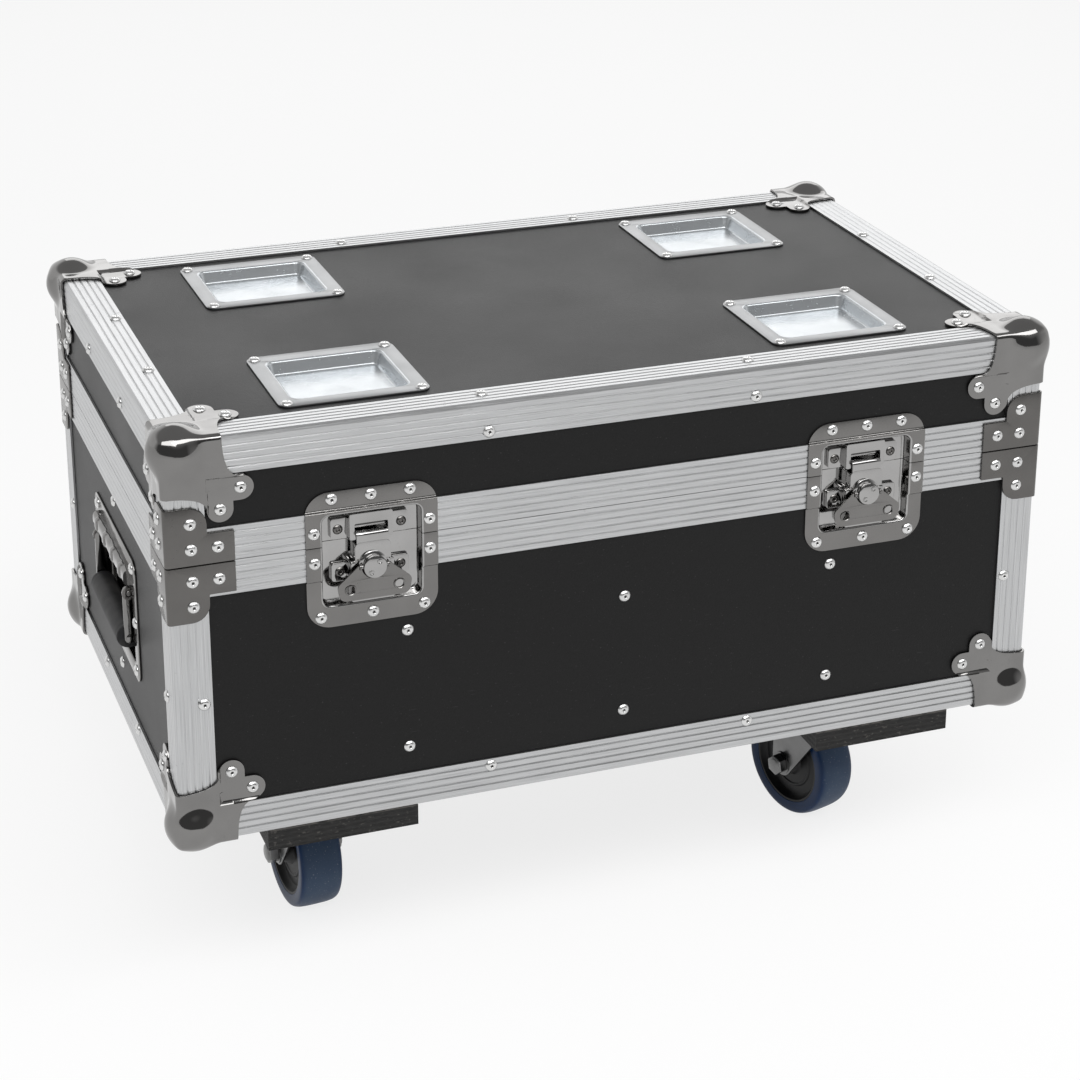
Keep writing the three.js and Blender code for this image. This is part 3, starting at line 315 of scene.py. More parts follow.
# One finished piece: merged, trimmed, split where it bends, walled, bevelled, bent, smoothed and ridden on
# its body; mark names a value for each point that its material reads
def makePiece(name, form, body, finish, place=None, replaces=None, inside=None, thickness=0, trims=(),
              splits=(), bevel=0, bevelAngle=50, smooth=35, warp=None, mark=None):
    points, faces = form
    mesh = bpy.data.meshes.new(name)
    mesh.from_pydata((points * mm).tolist(), [], faces)
    bm = bmesh.new()
    bm.from_mesh(mesh)
    cleaned(bm, inside)
    for point, normal in trims:
        trimmed(bm, point, normal)
    for point, normal in splits:
        split(bm, point, normal)
    bm.to_mesh(mesh)
    bm.free()
    obj = bpy.data.objects.new(name, mesh)
    bpy.context.scene.collection.objects.link(obj)
    if thickness:
        wall = obj.modifiers.new("wall", "SOLIDIFY")
        wall.thickness, wall.offset = thickness * mm, -1
    if bevel:
        edge = obj.modifiers.new("edge", "BEVEL")
        edge.width, edge.segments, edge.limit_method = bevel * mm, 2, "ANGLE"
        edge.angle_limit = math.radians(bevelAngle)
    if thickness or bevel:
        graph = bpy.context.evaluated_depsgraph_get()
        mesh = bpy.data.meshes.new_from_object(obj.evaluated_get(graph))
        obj.modifiers.clear()
        obj.data = mesh
    co = np.empty(len(mesh.vertices) * 3)
    mesh.vertices.foreach_get("co", co)
    co = co.reshape(-1, 3) / mm
    if mark is not None:
        values = mark[1](co).astype(np.float32)
        mesh.attributes.new(mark[0], "FLOAT", "POINT").data.foreach_set("value", values)
    if warp is not None:
        co = warp(co)
    if place is not None:
        co = applied(place, co)
    mesh.vertices.foreach_set("co", (co * mm).ravel())
    if place is not None and np.linalg.det(place[:3, :3]) < 0:
        mesh.flip_normals()
    mesh.shade_smooth()
    mesh.set_sharp_from_angle(angle=math.radians(smooth))
    mesh.update()
    mesh.materials.clear()
    mesh.materials.append(finish)
    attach(obj, body)
    slotOf.get(finish, "nickel")
    if replaces:
        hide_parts(replaces)


# Shader maths: a wrapped socket adds a Math node for each operator used on it
class Wire:
    def __init__(self, board, socket):
        self.board, self.socket = board, socket

    def calc(self, operation, *others):
        return self.board.node("ShaderNodeMath", {"operation": operation}, dict(enumerate([self, *others])))

    def __add__(self, other):
        return self.calc("ADD", other)

    def __sub__(self, other):
        return self.calc("SUBTRACT", other)

    def __rsub__(self, other):
        return self.board.node("ShaderNodeMath", {"operation": "SUBTRACT"}, {0: other, 1: self})

    def __mul__(self, other):
        return self.calc("MULTIPLY", other)

    def above(self, low, high):
        spans = {"Value": self, "From Min": low, "From Max": high}
        return self.board.node("ShaderNodeMapRange", {"clamp": True}, spans)

    # 1 between two levels, with an edge of half a millimetre to both sides
    def between(self, low, high):
        soft = mm / 2
        return self.above(low - soft, low + soft) * (1 - self.above(high - soft, high + soft))

    def scaled(self, x, y, z):
        return self.board.node("ShaderNodeVectorMath", {"operation": "MULTIPLY"}, {0: self, 1: (x, y, z)})

    __radd__ = __add__
    __rmul__ = __mul__


class Board:
    def __init__(self, owner):
        self.owner = bpy.data.materials.new(owner) if isinstance(owner, str) else owner
        self.owner.use_nodes = True
        self.tree = self.owner.node_tree
        self.tree.nodes.clear()
        self.spot = self.node("ShaderNodeTexCoord", output="Object")

    def node(self, kind, settings=(), inputs=(), output=0):
        made = self.tree.nodes.new(kind)
        for key, value in dict(settings).items():
            setattr(made, key, value)
        for key, value in dict(inputs).items():
            if isinstance(value, Wire):
                self.tree.links.new(value.socket, made.inputs[key])
            else:
                made.inputs[key].default_value = value
        return Wire(self, made.outputs[output]) if made.outputs else None

    def axes(self, where=None):
        made = self.node("ShaderNodeSeparateXYZ", {}, {0: where or self.spot}).socket.node
        return [Wire(self, output) for output in made.outputs]

    def noise(self, scale, detail=3, where=None, roughness=0.5):
        return self.node("ShaderNodeTexNoise", {}, {"Vector": where or self.spot, "Scale": scale,
                                                    "Detail": detail, "Roughness": roughness})

    def mix(self, share, one, other):
        one, other = (c if isinstance(c, Wire) else (*c, 1) for c in (one, other))
        return self.node("ShaderNodeMix", {"data_type": "RGBA"}, {0: share, 6: one, 7: other}, 2)

    def bump(self, height, strength, distance):
        inputs = {"Height": height, "Strength": strength, "Distance": distance}
        return self.node("ShaderNodeBump", {}, inputs)

    def finished(self, **sockets):
        inputs = {key.replace("_", " "): value for key, value in sockets.items()}
        shader = self.node("ShaderNodeBsdfPrincipled", {}, inputs)
        self.node("ShaderNodeOutputMaterial", {}, {"Surface": shader})
        return self.owner


# Satin black laminate: a fine pebble, faint clouds, a few pale specks and long hair scratches
laminateLook = {
    "dark": (0.0034, 0.0034, 0.0035), "light": (0.0072, 0.0072, 0.0073), "scratch": (0.3, 0.3, 0.3),
    "roughness": 0.42, "gloss": 0.22, "pebbleScale": 850, "pebbleDepth": 0.0003,
}


def laminateFinish():
    q = laminateLook
    b = Board("laminate")
    pebble = b.noise(q["pebbleScale"], 3, roughness=0.65)
    clouds = b.noise(9, 4)
    specks = b.noise(620, 1).above(0.73, 0.78)
    hair = b.noise(60, 2, b.spot.scaled(1, 14, 9)).above(0.70, 0.74) * b.noise(14, 2).above(0.5, 0.62)
    colour = b.mix(pebble.above(0.35, 0.65) * 0.6 + clouds * 0.35, q["dark"], q["light"])
    colour = b.mix(specks * 0.08 + hair * 0.05, colour, q["scratch"])
    rough = clouds * 0.16 + pebble * 0.16 + (q["roughness"] - 0.16)
    return b.finished(Base_Color=colour, Roughness=rough, Specular_IOR_Level=q["gloss"],
                      Normal=b.bump(pebble, 0.6, q["pebbleDepth"]))


# Drawn aluminium: streaks run along each extrusion and meet at the mitres
aluminiumLook = {
    "base": (0.66, 0.665, 0.67), "dull": (0.40, 0.405, 0.41), "scuff": (0.30, 0.30, 0.30),
    "roughness": 0.35,
    "baseUprights": (0.176, 0.353),  # levels between which the uprights show
    "lidUprights": (0.4085, 0.45), "edgeWidth": (0.0305, 0.0306),
    "along": 18,  # noise is long along a streak and short across it
    "across": 2600,
}


def aluminiumFinish():
    q = aluminiumLook
    b = Board("aluminium")
    x, y, z = b.axes()
    fromLong = (case["halfDepth"] * mm) - y.calc("ABSOLUTE")
    fromShort = (case["halfLength"] * mm) - x.calc("ABSOLUTE")
    alongX = fromShort.calc("GREATER_THAN", fromLong)
    bottomFree, topFree = z.between(*q["baseUprights"]), z.between(*q["lidUprights"])
    nearEdge = (1 - fromLong.above(*q["edgeWidth"])) * (1 - fromShort.above(*q["edgeWidth"]))
    upright = (bottomFree + topFree).above(0.4, 0.6) * nearEdge
    along, across = q["along"], q["across"]
    streakX = b.noise(1, 3, b.spot.scaled(along, across, across))
    streakY = b.noise(1, 3, b.spot.scaled(across, along, across))
    streakZ = b.noise(1, 3, b.spot.scaled(across, across, along))
    level = streakY + (streakX - streakY) * alongX
    streak = level + (streakZ - level) * upright
    patches = b.noise(22, 4)
    scuffs = b.noise(240, 4, b.spot.scaled(1, 1, 2)).above(0.66, 0.72) * patches.above(0.5, 0.62)
    colour = b.mix(streak.above(0.3, 0.7) * 0.75 + patches * 0.2, q["dull"], q["base"])
    colour = b.mix(scuffs * 0.35, colour, q["scuff"])
    rough = streak * 0.14 + patches * 0.08 + scuffs * 0.12 + (q["roughness"] - 0.11)
    return b.finished(Base_Color=colour, Metallic=1.0, Roughness=rough, Normal=b.bump(streak, 0.25, 0.00005))


# Plated steel: nearly a mirror, with soft smudges and hair-fine rubbing marks; wave is how much its
# surface sways
def platedFinish(name, base, dull, roughness, smudge, wave=0.0, metal=1.0):
    b = Board(name)
    smudges = b.noise(38, 4)
    rubbed = b.noise(1, 3, b.spot.scaled(260, 1500, 900))
    marks = b.noise(520, 3).above(0.68, 0.75)
    colour = b.mix(smudges.above(0.35, 0.7) * smudge + marks * 0.3, base, dull)
    rough = smudges * 0.10 + rubbed * 0.08 + marks * 0.1 + (roughness - 0.09)
    relief = b.noise(42, 1) * wave + rubbed * 0.0024
    return b.finished(Base_Color=colour, Metallic=metal, Roughness=rough, Normal=b.bump(relief, 1.0, 0.001))


# Moulded rubber and plastic: a dull skin with fine grain and rubbed dust
def mouldedFinish(name, base, dusty, roughness, dust):
    b = Board(name)
    grain = b.noise(1300, 2)
    patches = b.noise(45, 4)
    worn = patches.above(0.45, 0.7) * dust
    colour = b.mix(worn, b.mix(grain * 0.5, base, tuple(c * 0.7 for c in base)), dusty)
    rough = grain * 0.12 + patches * 0.1 + (roughness - 0.1)
    return b.finished(Base_Color=colour, Roughness=rough, Specular_IOR_Level=0.3,
                      Normal=b.bump(grain, 0.3, 0.0001))


# Blue tyre: clean and deep on its sides, rubbed grey and dusty where the tread runs
tyreLook = {"deep": (0.0032, 0.020, 0.068), "blue": (0.0045, 0.027, 0.084), "rubbed": (0.046, 0.072, 0.115),
            "dust": (0.35, 0.36, 0.37), "roughness": 0.28, "gloss": 0.2}


def tyreFinish():
    q = tyreLook
    b = Board("blue_tyre")
    run = b.node("ShaderNodeAttribute", {"attribute_name": "tread"}, output="Fac")
    grain = b.noise(1100, 3)
    patches = b.noise(38, 4)
    dust = b.noise(900, 1).above(0.70, 0.76) * (run * 0.5 + 0.1)
    colour = b.mix(patches.above(0.35, 0.65) * 0.4, q["deep"], q["blue"])
    colour = b.mix(run * (patches.above(0.3, 0.7) * 0.35 + 0.5), colour, q["rubbed"])
    colour = b.mix(dust, colour, q["dust"])
    rough = run * 0.15 + grain * 0.15 + q["roughness"]
    return b.finished(Base_Color=colour, Roughness=rough, Specular_IOR_Level=q["gloss"],
                      Normal=b.bump(grain, 0.3, 0.00012))


# Black-stained board: plies show as lines round its edge, with open grain, pale nicks and a rubbed top edge
boardLook = {"stain": (0.003, 0.003, 0.003), "worn": (0.020, 0.0195, 0.019), "ply": (0.034, 0.033, 0.032),
             "nick": (0.20, 0.185, 0.17), "plyTurns": 1396.0, "rubbedFrom": (0.1444, 0.1453)}


def boardFinish():
    q = boardLook
    b = Board("black_wood")
    z = b.axes()[2]
    grain = b.noise(1, 4, b.spot.scaled(140, 900, 1500))
    plies = (z * q["plyTurns"] + grain * 0.7).calc("SINE").above(-0.2, 0.75)
    nicks = b.noise(260, 4, b.spot.scaled(1, 1, 2)).above(0.62, 0.68)
    edge = z.above(*q["rubbedFrom"]) * b.noise(90, 4).above(0.38, 0.5)
    colour = b.mix(grain.above(0.3, 0.7), q["stain"], q["worn"])
    colour = b.mix(plies * 0.25, colour, q["ply"])
    colour = b.mix(nicks * 0.2 + edge * 0.5, colour, q["nick"])
    return b.finished(Base_Color=colour, Roughness=grain * 0.2 + 0.55, Specular_IOR_Level=0.3,
                      Normal=b.bump(grain + plies * 0.5, 0.6, 0.0005))


# Birch plywood: pale long grain on the faces
birchLook = {"dark": (0.48, 0.33, 0.19), "pale": (0.62, 0.46, 0.29), "pore": (0.28, 0.18, 0.10)}


def plywoodFinish():
    b = Board("plywood")
    figure = b.noise(1, 5, b.spot.scaled(9, 9, 120), 0.6)
    pores = b.noise(1, 2, b.spot.scaled(120, 120, 2200)).above(0.55, 0.75)
    colour = b.mix(figure.above(0.3, 0.7), birchLook["dark"], birchLook["pale"])
    colour = b.mix(pores * 0.35, colour, birchLook["pore"])
    return b.finished(Base_Color=colour, Roughness=figure * 0.2 + 0.5, Normal=b.bump(pores, 0.3, 0.0002))


laminate = laminateFinish()
aluminium = aluminiumFinish()
# Copies of one nickel plating, with base colours set by the light each part catches. This one is painted
# shade: its base colour is darkened so that the braces, handle dishes, ears and pad screws show the dim room
# they mirror
nickel = platedFinish("nickel", (0.145, 0.14, 0.135), (0.10, 0.097, 0.094),
                      roughness=0.22, smudge=0.35, wave=0.3)
# Painted shade: the same nickel with its base colour darkened less, for the latch and handle flanges and the
# latch wings
flangeShadedNickel = platedFinish("flange_nickel", (0.20, 0.195, 0.19), (0.15, 0.147, 0.143),
                            roughness=0.17, smudge=0.3, wave=0.2)
# Painted shade: the same nickel, polished smoother, with its base colour darkened for the ball corners,
# handle covers and bails
ballShadedNickel = platedFinish("ball_nickel", (0.22, 0.216, 0.212), (0.145, 0.142, 0.139),
                          roughness=0.07, smudge=0.25, wave=1.3)
# Painted light: the same nickel with a lighter base colour, so that the latch recesses, bodies, claws and
# drums show bright reflections
paintedLitNickel = platedFinish("bright_nickel", (0.38, 0.376, 0.372), (0.25, 0.247, 0.244),
                            roughness=0.08, smudge=0.3, wave=0.6)
rivetMetal = platedFinish("rivet_metal", (0.70, 0.70, 0.695), (0.52, 0.52, 0.52), roughness=0.27, smudge=0.3)
mandrelSteel = platedFinish("mandrel_steel", (0.13, 0.128, 0.125), (0.06, 0.06, 0.06),
                            roughness=0.35, smudge=0.5)
zinc = platedFinish("zinc", (0.49, 0.51, 0.525), (0.39, 0.415, 0.435),
                    roughness=0.25, smudge=0.4, wave=0.12, metal=0.72)
# Painted shade: a rougher copy of the cups' zinc with its base colour darkened, for the cup flanges
satinShadedZinc = platedFinish("brushed_zinc", (0.34, 0.345, 0.35), (0.28, 0.285, 0.29),
                           roughness=0.36, smudge=0.3)
# Painted shade: a darker copy of the zinc for the castor forks, crowns and nuts, which stand in shade under
# the case
castorShadedZinc = platedFinish("castor_steel", (0.2, 0.2, 0.2), (0.12, 0.12, 0.118), roughness=0.3, smudge=0.6)
blackRubber = mouldedFinish("black_rubber", (0.016, 0.016, 0.017), (0.07, 0.068, 0.065),
                            roughness=0.55, dust=0.5)
blackPlastic = mouldedFinish("black_plastic", (0.005, 0.005, 0.0055), (0.03, 0.03, 0.03),
                             roughness=0.46, dust=0.3)
blueTyre = tyreFinish()
blackWood = boardFinish()
birch = plywoodFinish()
slotOf = {  # slot name of each finish, nickel for any other; makePiece looks it up but keeps it nowhere
    rivetMetal: "aluminium", zinc: "zinc", satinShadedZinc: "zinc", castorShadedZinc: "zinc",
    blueTyre: "blue_tyre", blackRubber: "black_rubber", blackPlastic: "black_rubber",
}
print("finishes made")

cadFinish = {"base_shell": laminate, "lid_shell": laminate, "divider_grid": birch,
             "base_edge_frame": aluminium, "lid_edge_frame": aluminium,
             "castor_board_left": blackWood, "castor_board_right": blackWood}
for nodeName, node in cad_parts.items():
    for held in node.material_slots:
        held.material = cadFinish.get(nodeName, zinc)


# Blind rivet: a low dome with the dimple that its mandrel leaves, and the mandrel's dark end in it. The
# shapes are shares: of the dimple's radius and the height, then of the head's radius and the height
rivet = {
    "blind": (4.9, 2.3, 1.05),  # radius, height and dimple radius
    "padScrew": (4.0, 1.5, 1.3), "hinge": (3.6, 1.6, 1.1), "steps": 22, "sink": 0.15,
    "dimpleShape": ((0, 0.12), (0.8, 0.12), (1.0, 0.55), (1.25, 0.9), (1.7, 1.0)),
    "domeShape": ((0.68, 0.86), (0.86, 0.52), (0.95, 0.3), (1.0, 0.16), (1.0, 0)),
    "mandrelShape": ((0, 0.1), (0.72, 0.1), (0.72, 0.22), (0.45, 0.38), (0, 0.42)),
    "turnEach": 37,  # each rivet stands turned by this many degrees more
}
rivetPlaces = {"base": [], "lid": []}


# The shapes times their radius and height, turned round Z
def rivetForm(radius, height, dimple):
    hollow = np.array(rivet["dimpleShape"]) * (dimple, height)
    dome = np.array(rivet["domeShape"]) * (radius, height)
    foot = [(radius, -rivet["sink"]), (0, -rivet["sink"])]
    return lathe(np.concatenate([hollow, dome, foot]), rivet["steps"])


# A place for a rivet of this body, on a wall's frame
def rivetOn(body, wall, level=0, x=0, y=0):
    places = rivetPlaces[body]
    places.append(wall @ move(x, y, level) @ turnZ(rivet["turnEach"] * len(places)))


# Ball corner: three lobed plates and a ball, drawn for the corner at its origin with the case
# towards +X, +Y and +Z
ballCorner = {
    "outer": 2.3,  # the plates' outer faces stand this far out of the aluminium
    "ballRadius": 22.1, "ballProud": 9.5, "arm": 44.5, "lobeFar": 57.8, "lobeNear": 41.9, "lobeRadius": 10,
    "step": 31.0,  # beyond this on both axes the plate drops onto the panel
    "stepWidth": 3.0, "stepDrop": 2.0, "edgeRadius": 4.5, "blend": 5.5,
    "pole": 41.0,  # the rings of each plate close on this point of its diagonal
    "rings": 30, "halvings": 40,
    "reach": 2.4,  # a line is followed to this many times its way to the plate's outer face
    "thickness": 1.7,
}


# Depth of the pressing's skin: a rounded box corner and a ball, joined by a smooth minimum
def cornerDistance(p):
    q = ballCorner
    second = np.sort(p, -1)[..., 1:].min(-1)
    offset = q["outer"] - q["stepDrop"] * eased((second - q["step"]) / q["stepWidth"])
    away = q["edgeRadius"] - offset[..., None] - p
    box = np.linalg.norm(np.maximum(away, 0), axis=-1) + np.minimum(away.max(-1), 0) - q["edgeRadius"]
    middle = q["ballRadius"] - q["ballProud"]
    ball = np.linalg.norm(p - middle, axis=-1) - q["ballRadius"]
    h = np.clip(0.5 + 0.5 * (box - ball) / q["blend"], 0, 1)
    return box * (1 - h) + ball * h - q["blend"] * h * (1 - h)


# Half of one plate's outline, from the case's corner along its edge, round the lobe to the notch
def cornerSide():
    q = ballCorner
    far, near, radius, outer, arm = q["lobeFar"], q["lobeNear"], q["lobeRadius"], q["outer"], q["arm"]
    reach = near - radius
    edge = np.column_stack([np.linspace(-outer, arm, 37)[:-1], np.full(36, -outer)])
    t = np.linspace(0, 1, 17)[:, None]
    curve = (1 - t) ** 2 * [arm, -outer] + 2 * t * (1 - t) * [arm, reach] + t * t * [far, reach]
    angle = np.linspace(-math.pi / 2, math.pi / 2, 17)[1:, None]
    lobe = np.array([far, near]) + radius * np.concatenate([np.cos(angle), np.sin(angle)], -1)
    notch = np.column_stack([np.linspace(far, near + radius, 5)[1:], np.full(4, near + radius)])
    return np.concatenate([edge, curve, lobe, notch])


# Each plate is rings that grow from its pole to its outline; every point then slides along the line
# from the case's inside until it meets the skin
def cornerForm():
    q = ballCorner
    side = cornerSide()
    outline = np.concatenate([side, side[-2:0:-1, ::-1]])
    share = np.linspace(0.02, 1, q["rings"])[:, None, None]
    flat = q["pole"] + share * (outline[None] - q["pole"])
    target = np.concatenate([flat, np.full(flat.shape[:2] + (1,), -q["outer"])], -1)
    origin = np.maximum(target, q["ballRadius"] - q["ballProud"])
    low, high = np.zeros(target.shape[:2]), np.full(target.shape[:2], q["reach"])
    for _ in range(q["halvings"]):
        half = (low + high) / 2
        inside = cornerDistance(origin + half[..., None] * (target - origin)) < 0
        low, high = np.where(inside, half, low), np.where(inside, high, half)
    skin = origin + low[..., None] * (target - origin)
    return joined(*[gridForm(skin[..., order], capStart=True) for order in ([0, 1, 2], [2, 0, 1], [1, 2, 0])])


# The corner's place: its axes flipped so that the drawing's inside is the case's
def cornerPlace(name, top):
    signX, signY = cornerSigns[name]
    level = case["top"] if top else case["underside"]
    flip = np.diag([-signX, -signY, -1.0 if top else 1.0, 1.0])
    return move(signX * case["halfLength"], signY * case["halfDepth"], level) @ flip


# A rivet in each of the six lobes, standing out of its plate
def lobeRivets(place):
    q, unit = ballCorner, np.eye(3)
    far, near, level = q["lobeFar"], q["lobeNear"], q["stepDrop"] - q["outer"]
    for first, second, third in ((0, 1, 2), (1, 2, 0), (2, 0, 1)):
        for one, two in ((far, near), (near, far)):
            along, out = unit[first], -unit[third]
            stand = np.eye(4)
            spot = one * unit[first] + two * unit[second] + level * unit[third]
            stand[:3] = np.column_stack([along, np.cross(out, along), out, spot])
            whole = place @ stand
            if np.linalg.det(whole[:3, :3]) < 0:
                whole[:3, 0] *= -1
            yield whole


cornerShape = cornerForm()
for name in cornerSigns:
    for body, top in (("base", False), ("lid", True)):
        place = cornerPlace(name, top)
        makePiece(f"ballCorner_{body}_{name}", cornerShape, body, ballShadedNickel, place,
                  replaces=f"{body}_ball_corner_{name}", inside=(30, 30, 30),
                  thickness=ballCorner["thickness"], bevel=0.5, bevelAngle=60)
        rivetPlaces[body] += lobeRivets(place)
print("ball corners made")

# Brace: a plate folded round the upright edge; drawn flat, X along the wall and Y down from the joint
brace = {
    "proud": 1.8, "metal": 1.5, "arm": 51.5, "band": 25, "reach": 46.5, "width": 31, "round": 14,
    "corner": 0.8, "foldRadius": 3.6, "foldSteps": 9, "jointSpace": 0.3,
    "rivets": ((18.4, 33.5), (18.4, 13), (38.7, 13)),
}
braceArc = brace["foldRadius"] * math.pi / 2


# A flat T with rounded feet, drawn on one side and mirrored to the other
def braceForm():
    q = brace
    shift = braceArc / 2 - (q["foldRadius"] - q["proud"])  # from wall distance to unfolded distance
    far, near = q["arm"] + shift, q["width"] + shift
    top, band, low, small = q["jointSpace"], q["band"], q["reach"], q["corner"]
    outline = bothSides([(far, top), (far, band), (near, band), (near, low)])
    radii = [small, small, small, q["round"], q["round"], small, small, small]
    return plate(roundedPolygon(outline, radii), -q["metal"], 0)


# The unfolded distance becomes an arc round the fold's centre, then runs straight along each wall
def folded(co):
    radius = brace["foldRadius"]
    s, down, out = co[:, 0], co[:, 1], co[:, 2]
    centre = radius - brace["proud"]
    angle = np.clip(s / radius, -math.pi / 4, math.pi / 4) + math.pi / 4
    beyond = np.sign(s) * np.maximum(np.abs(s) - braceArc / 2, 0)
    x = centre - (radius + out) * np.cos(angle) + np.maximum(beyond, 0)
    y = centre - (radius + out) * np.sin(angle) + np.maximum(-beyond, 0)
    return np.stack([x, y, -down], -1)


foldLines = np.linspace(-braceArc / 2, braceArc / 2, brace["foldSteps"])
braceSplits = [((along, 0, 0), (1, 0, 0)) for along in foldLines]
braceShape = braceForm()
for name, (signX, signY) in cornerSigns.items():
    for body, up in (("base", 1.0), ("lid", -1.0)):
        place = move(signX * case["halfLength"], signY * case["halfDepth"], case["joint"])
        place = place @ np.diag([-signX, -signY, up, 1.0])
        makePiece(f"brace_{body}_{name}", braceShape, body, nickel, place, replaces=f"{body}_brace_{name}",
                  splits=braceSplits, bevel=0.5, warp=folded)
    frontTurn = 0 if signY < 0 else 180
    sideTurn = 90 if signX > 0 else -90
    for away, down in brace["rivets"]:
        for body, rise in (("base", -down), ("lid", down)):
            frontAlong = -signX * signY * (case["halfLength"] - away)
            sideAlong = signX * signY * (case["halfDepth"] - away)
            rivetOn(body, onWall(frontTurn, frontAlong, case["joint"] + rise), brace["proud"])
            rivetOn(body, onWall(sideTurn, sideAlong, case["joint"] + rise), brace["proud"])
print("braces made")

# Latch: dish and keeper halves of one pressing, claw, drum and folding wing; X along, Y up, Z out
latch = {
    "fromEnd": 157.5, "halfWidth": 52, "above": 43.5, "below": 68, "corner": 19, "recessHalf": 39,
    "recessAbove": 24.5, "recessBelow": 50.5, "recessCorner": 6, "depth": 9.6, "metal": 1.2, "skin": 0.9,
    "level": 0,  # its sheet is flat until it is stepped
    "onBand": 1.5,  # the flange's face over the band
    "onPanel": -0.5,  # and over the panels
    "bandEdge": 28.3,
    "bandSlope": 0.9,  # half the width of the slope between them
    "rim": 1.6, "foot": 1.5, "wallIn": 0.4, "jointHalf": 0.25, "drumDrop": 19,
    "rivets": ((-30.8, 37.3), (0, 37.3), (30.8, 37.3), (-45.4, 11.6), (45.4, 11.6),
               (-45.4, -12.8), (45.4, -12.8), (-41.2, -59.3), (0, -59.8), (41.2, -59.3)),
    "screws": {"lid": ((-25.0, 9.5), (25.0, 9.5)), "base": ((-24.0, -25.5), (24.0, -25.5))},
}


# Level of the flange: over the band it stands out, and a short slope takes it down to the panels
def flangeLevel(y):
    q = latch
    share = (np.abs(y) - q["bandEdge"] + q["bandSlope"]) / (2 * q["bandSlope"])
    return q["onBand"] + (q["onPanel"] - q["onBand"]) * eased(share)


# The flat flange takes up its level, as a step that both halves share
def stepped(co):
    return np.column_stack([co[:, :2], co[:, 2] + flangeLevel(co[:, 1])])


# The pieces in the latch, from the joint's line and the wall's face, or from the drum's axis
latchParts = {
    "keeperHalf": 17, "keeperTop": 22.5, "keeperBottom": 1.2, "keeperFace": -1, "keeperMetal": 1.2,
    "slotHalf": 13.2, "slotBottom": 6.3, "slotTop": 14.3, "barRadius": 2.6, "barHalf": 14,
    "barPlace": (11, -6.8), "padWidth": 13.5, "padTall": 17, "padProud": 3.2, "padCorner": 2.2,
    "bodyTop": -17, "seatTop": -3.5, "seatHalf": 12.6, "seatPads": (-33.5, -18.5), "bodyFace": 0.5,
    "clawBack": 0.8, "clawFront": 2.3, "clawHalf": 14.2, "clawBottom": -15.5, "clawTop": 8.1,
    "clawBend": 3.2, "clawMetal": 1.5, "neckHalf": 12.6, "pivotProud": 5.2, "drumRadius": 9.25,
    "drumGroove": 0.7, "drumFace": 9.0, "pinHalf": 11.5, "studs": ((-3.4, -4.2), (3.4, 4.2)),
    "wingMetal": 1.5, "notchRadius": 10.2, "wingHoles": (19.3, -17.5), "wingHole": 3.5,
    "knuckleAlong": 11.05,
}


# A rounded rectangle between two heights
def tallRect(halfWidth, bottom, top, radius, steps):
    return roundedRect(halfWidth, (top - bottom) / 2, radius, (0, (top + bottom) / 2), steps)


# Keeper: a slotted face with a wall and a screwed pad to each side, and a bar behind the slot
def keeperForm():
    q, floor = latchParts, -latch["depth"]
    half, bottom, metal, level = q["keeperHalf"], q["keeperBottom"], q["keeperMetal"], q["keeperFace"]
    slot = tallRect(q["slotHalf"], q["slotBottom"], q["slotTop"], 1.2, 5)
    parts = [plate(tallRect(half, bottom, q["keeperTop"], 1.6, 6), level - metal, level, [slot])]
    for side in (-1, 1):
        parts.append(sideBlock(side, half - 0.1 - metal, half - 0.1, bottom + 0.1, q["keeperTop"] - 1.2,
                               floor - 0.4, level - 0.6, 0.3))
        parts.append(sideBlock(side, half - 0.6, half + q["padWidth"], bottom + 0.3, bottom + q["padTall"],
                               floor - 0.4, floor + q["padProud"], q["padCorner"]))
    return joined(*parts, alongX(rod(q["barRadius"], q["barHalf"], 24), *q["barPlace"]))


# The mechanism's seat: one stepped plate, with a screwed pad to each side
def latchBodyForm():
    q, floor = latchParts, -latch["depth"]
    wide, narrow, low, top = q["keeperHalf"], q["seatHalf"], 1.0 - latch["recessBelow"], q["bodyTop"]
    outline = bothSides([(wide, low), (wide, top), (narrow, top), (narrow, q["seatTop"])])
    parts = [plate(roundedPolygon(outline, [1.4] * 8, 4), floor - 0.4, q["bodyFace"])]
    for side in (-1, 1):
        parts.append(sideBlock(side, narrow, wide + q["padWidth"], *q["seatPads"],
                               floor - 0.4, floor + q["padProud"], q["padCorner"]))
    return joined(*parts)


# Claw: a face plate with cheeks, whose neck bends over at the top into the keeper's slot
def clawForm():
    q = latchParts
    half, neck, low, front, top = q["clawHalf"], q["neckHalf"], q["clawBottom"], q["clawFront"], q["clawTop"]
    outline = roundedPolygon([(-half, low), (half, low), (half, 0.2), (-half, 0.2)], [0.6, 0.6, 5, 5], 8)
    face = plate(outline, q["clawBack"], front)
    turn = np.linspace(0, math.pi / 2, 9)
    bend, metal = q["clawBend"], q["clawMetal"]
    outer, inner = (np.column_stack([top - bend + r * np.sin(turn), front - bend + r * np.cos(turn)])
                    for r in (bend, bend - metal))
    hook = front - 5.6
    strip = np.concatenate([[(-2, front - 0.3), (0.4, front)], outer, [(top, hook), (top - metal, hook)],
                            inner[::-1], [(-2, front - metal)]])
    cheek = (half - metal, half - 0.1, low + 0.1, -4.6, q["clawBack"] - 2.8, front - 0.4, 0.4)
    cheeks = [sideBlock(side, *cheek) for side in (-1, 1)]
    return joined(face, placed(plate(strip, -neck, neck), acrossX), *cheeks)


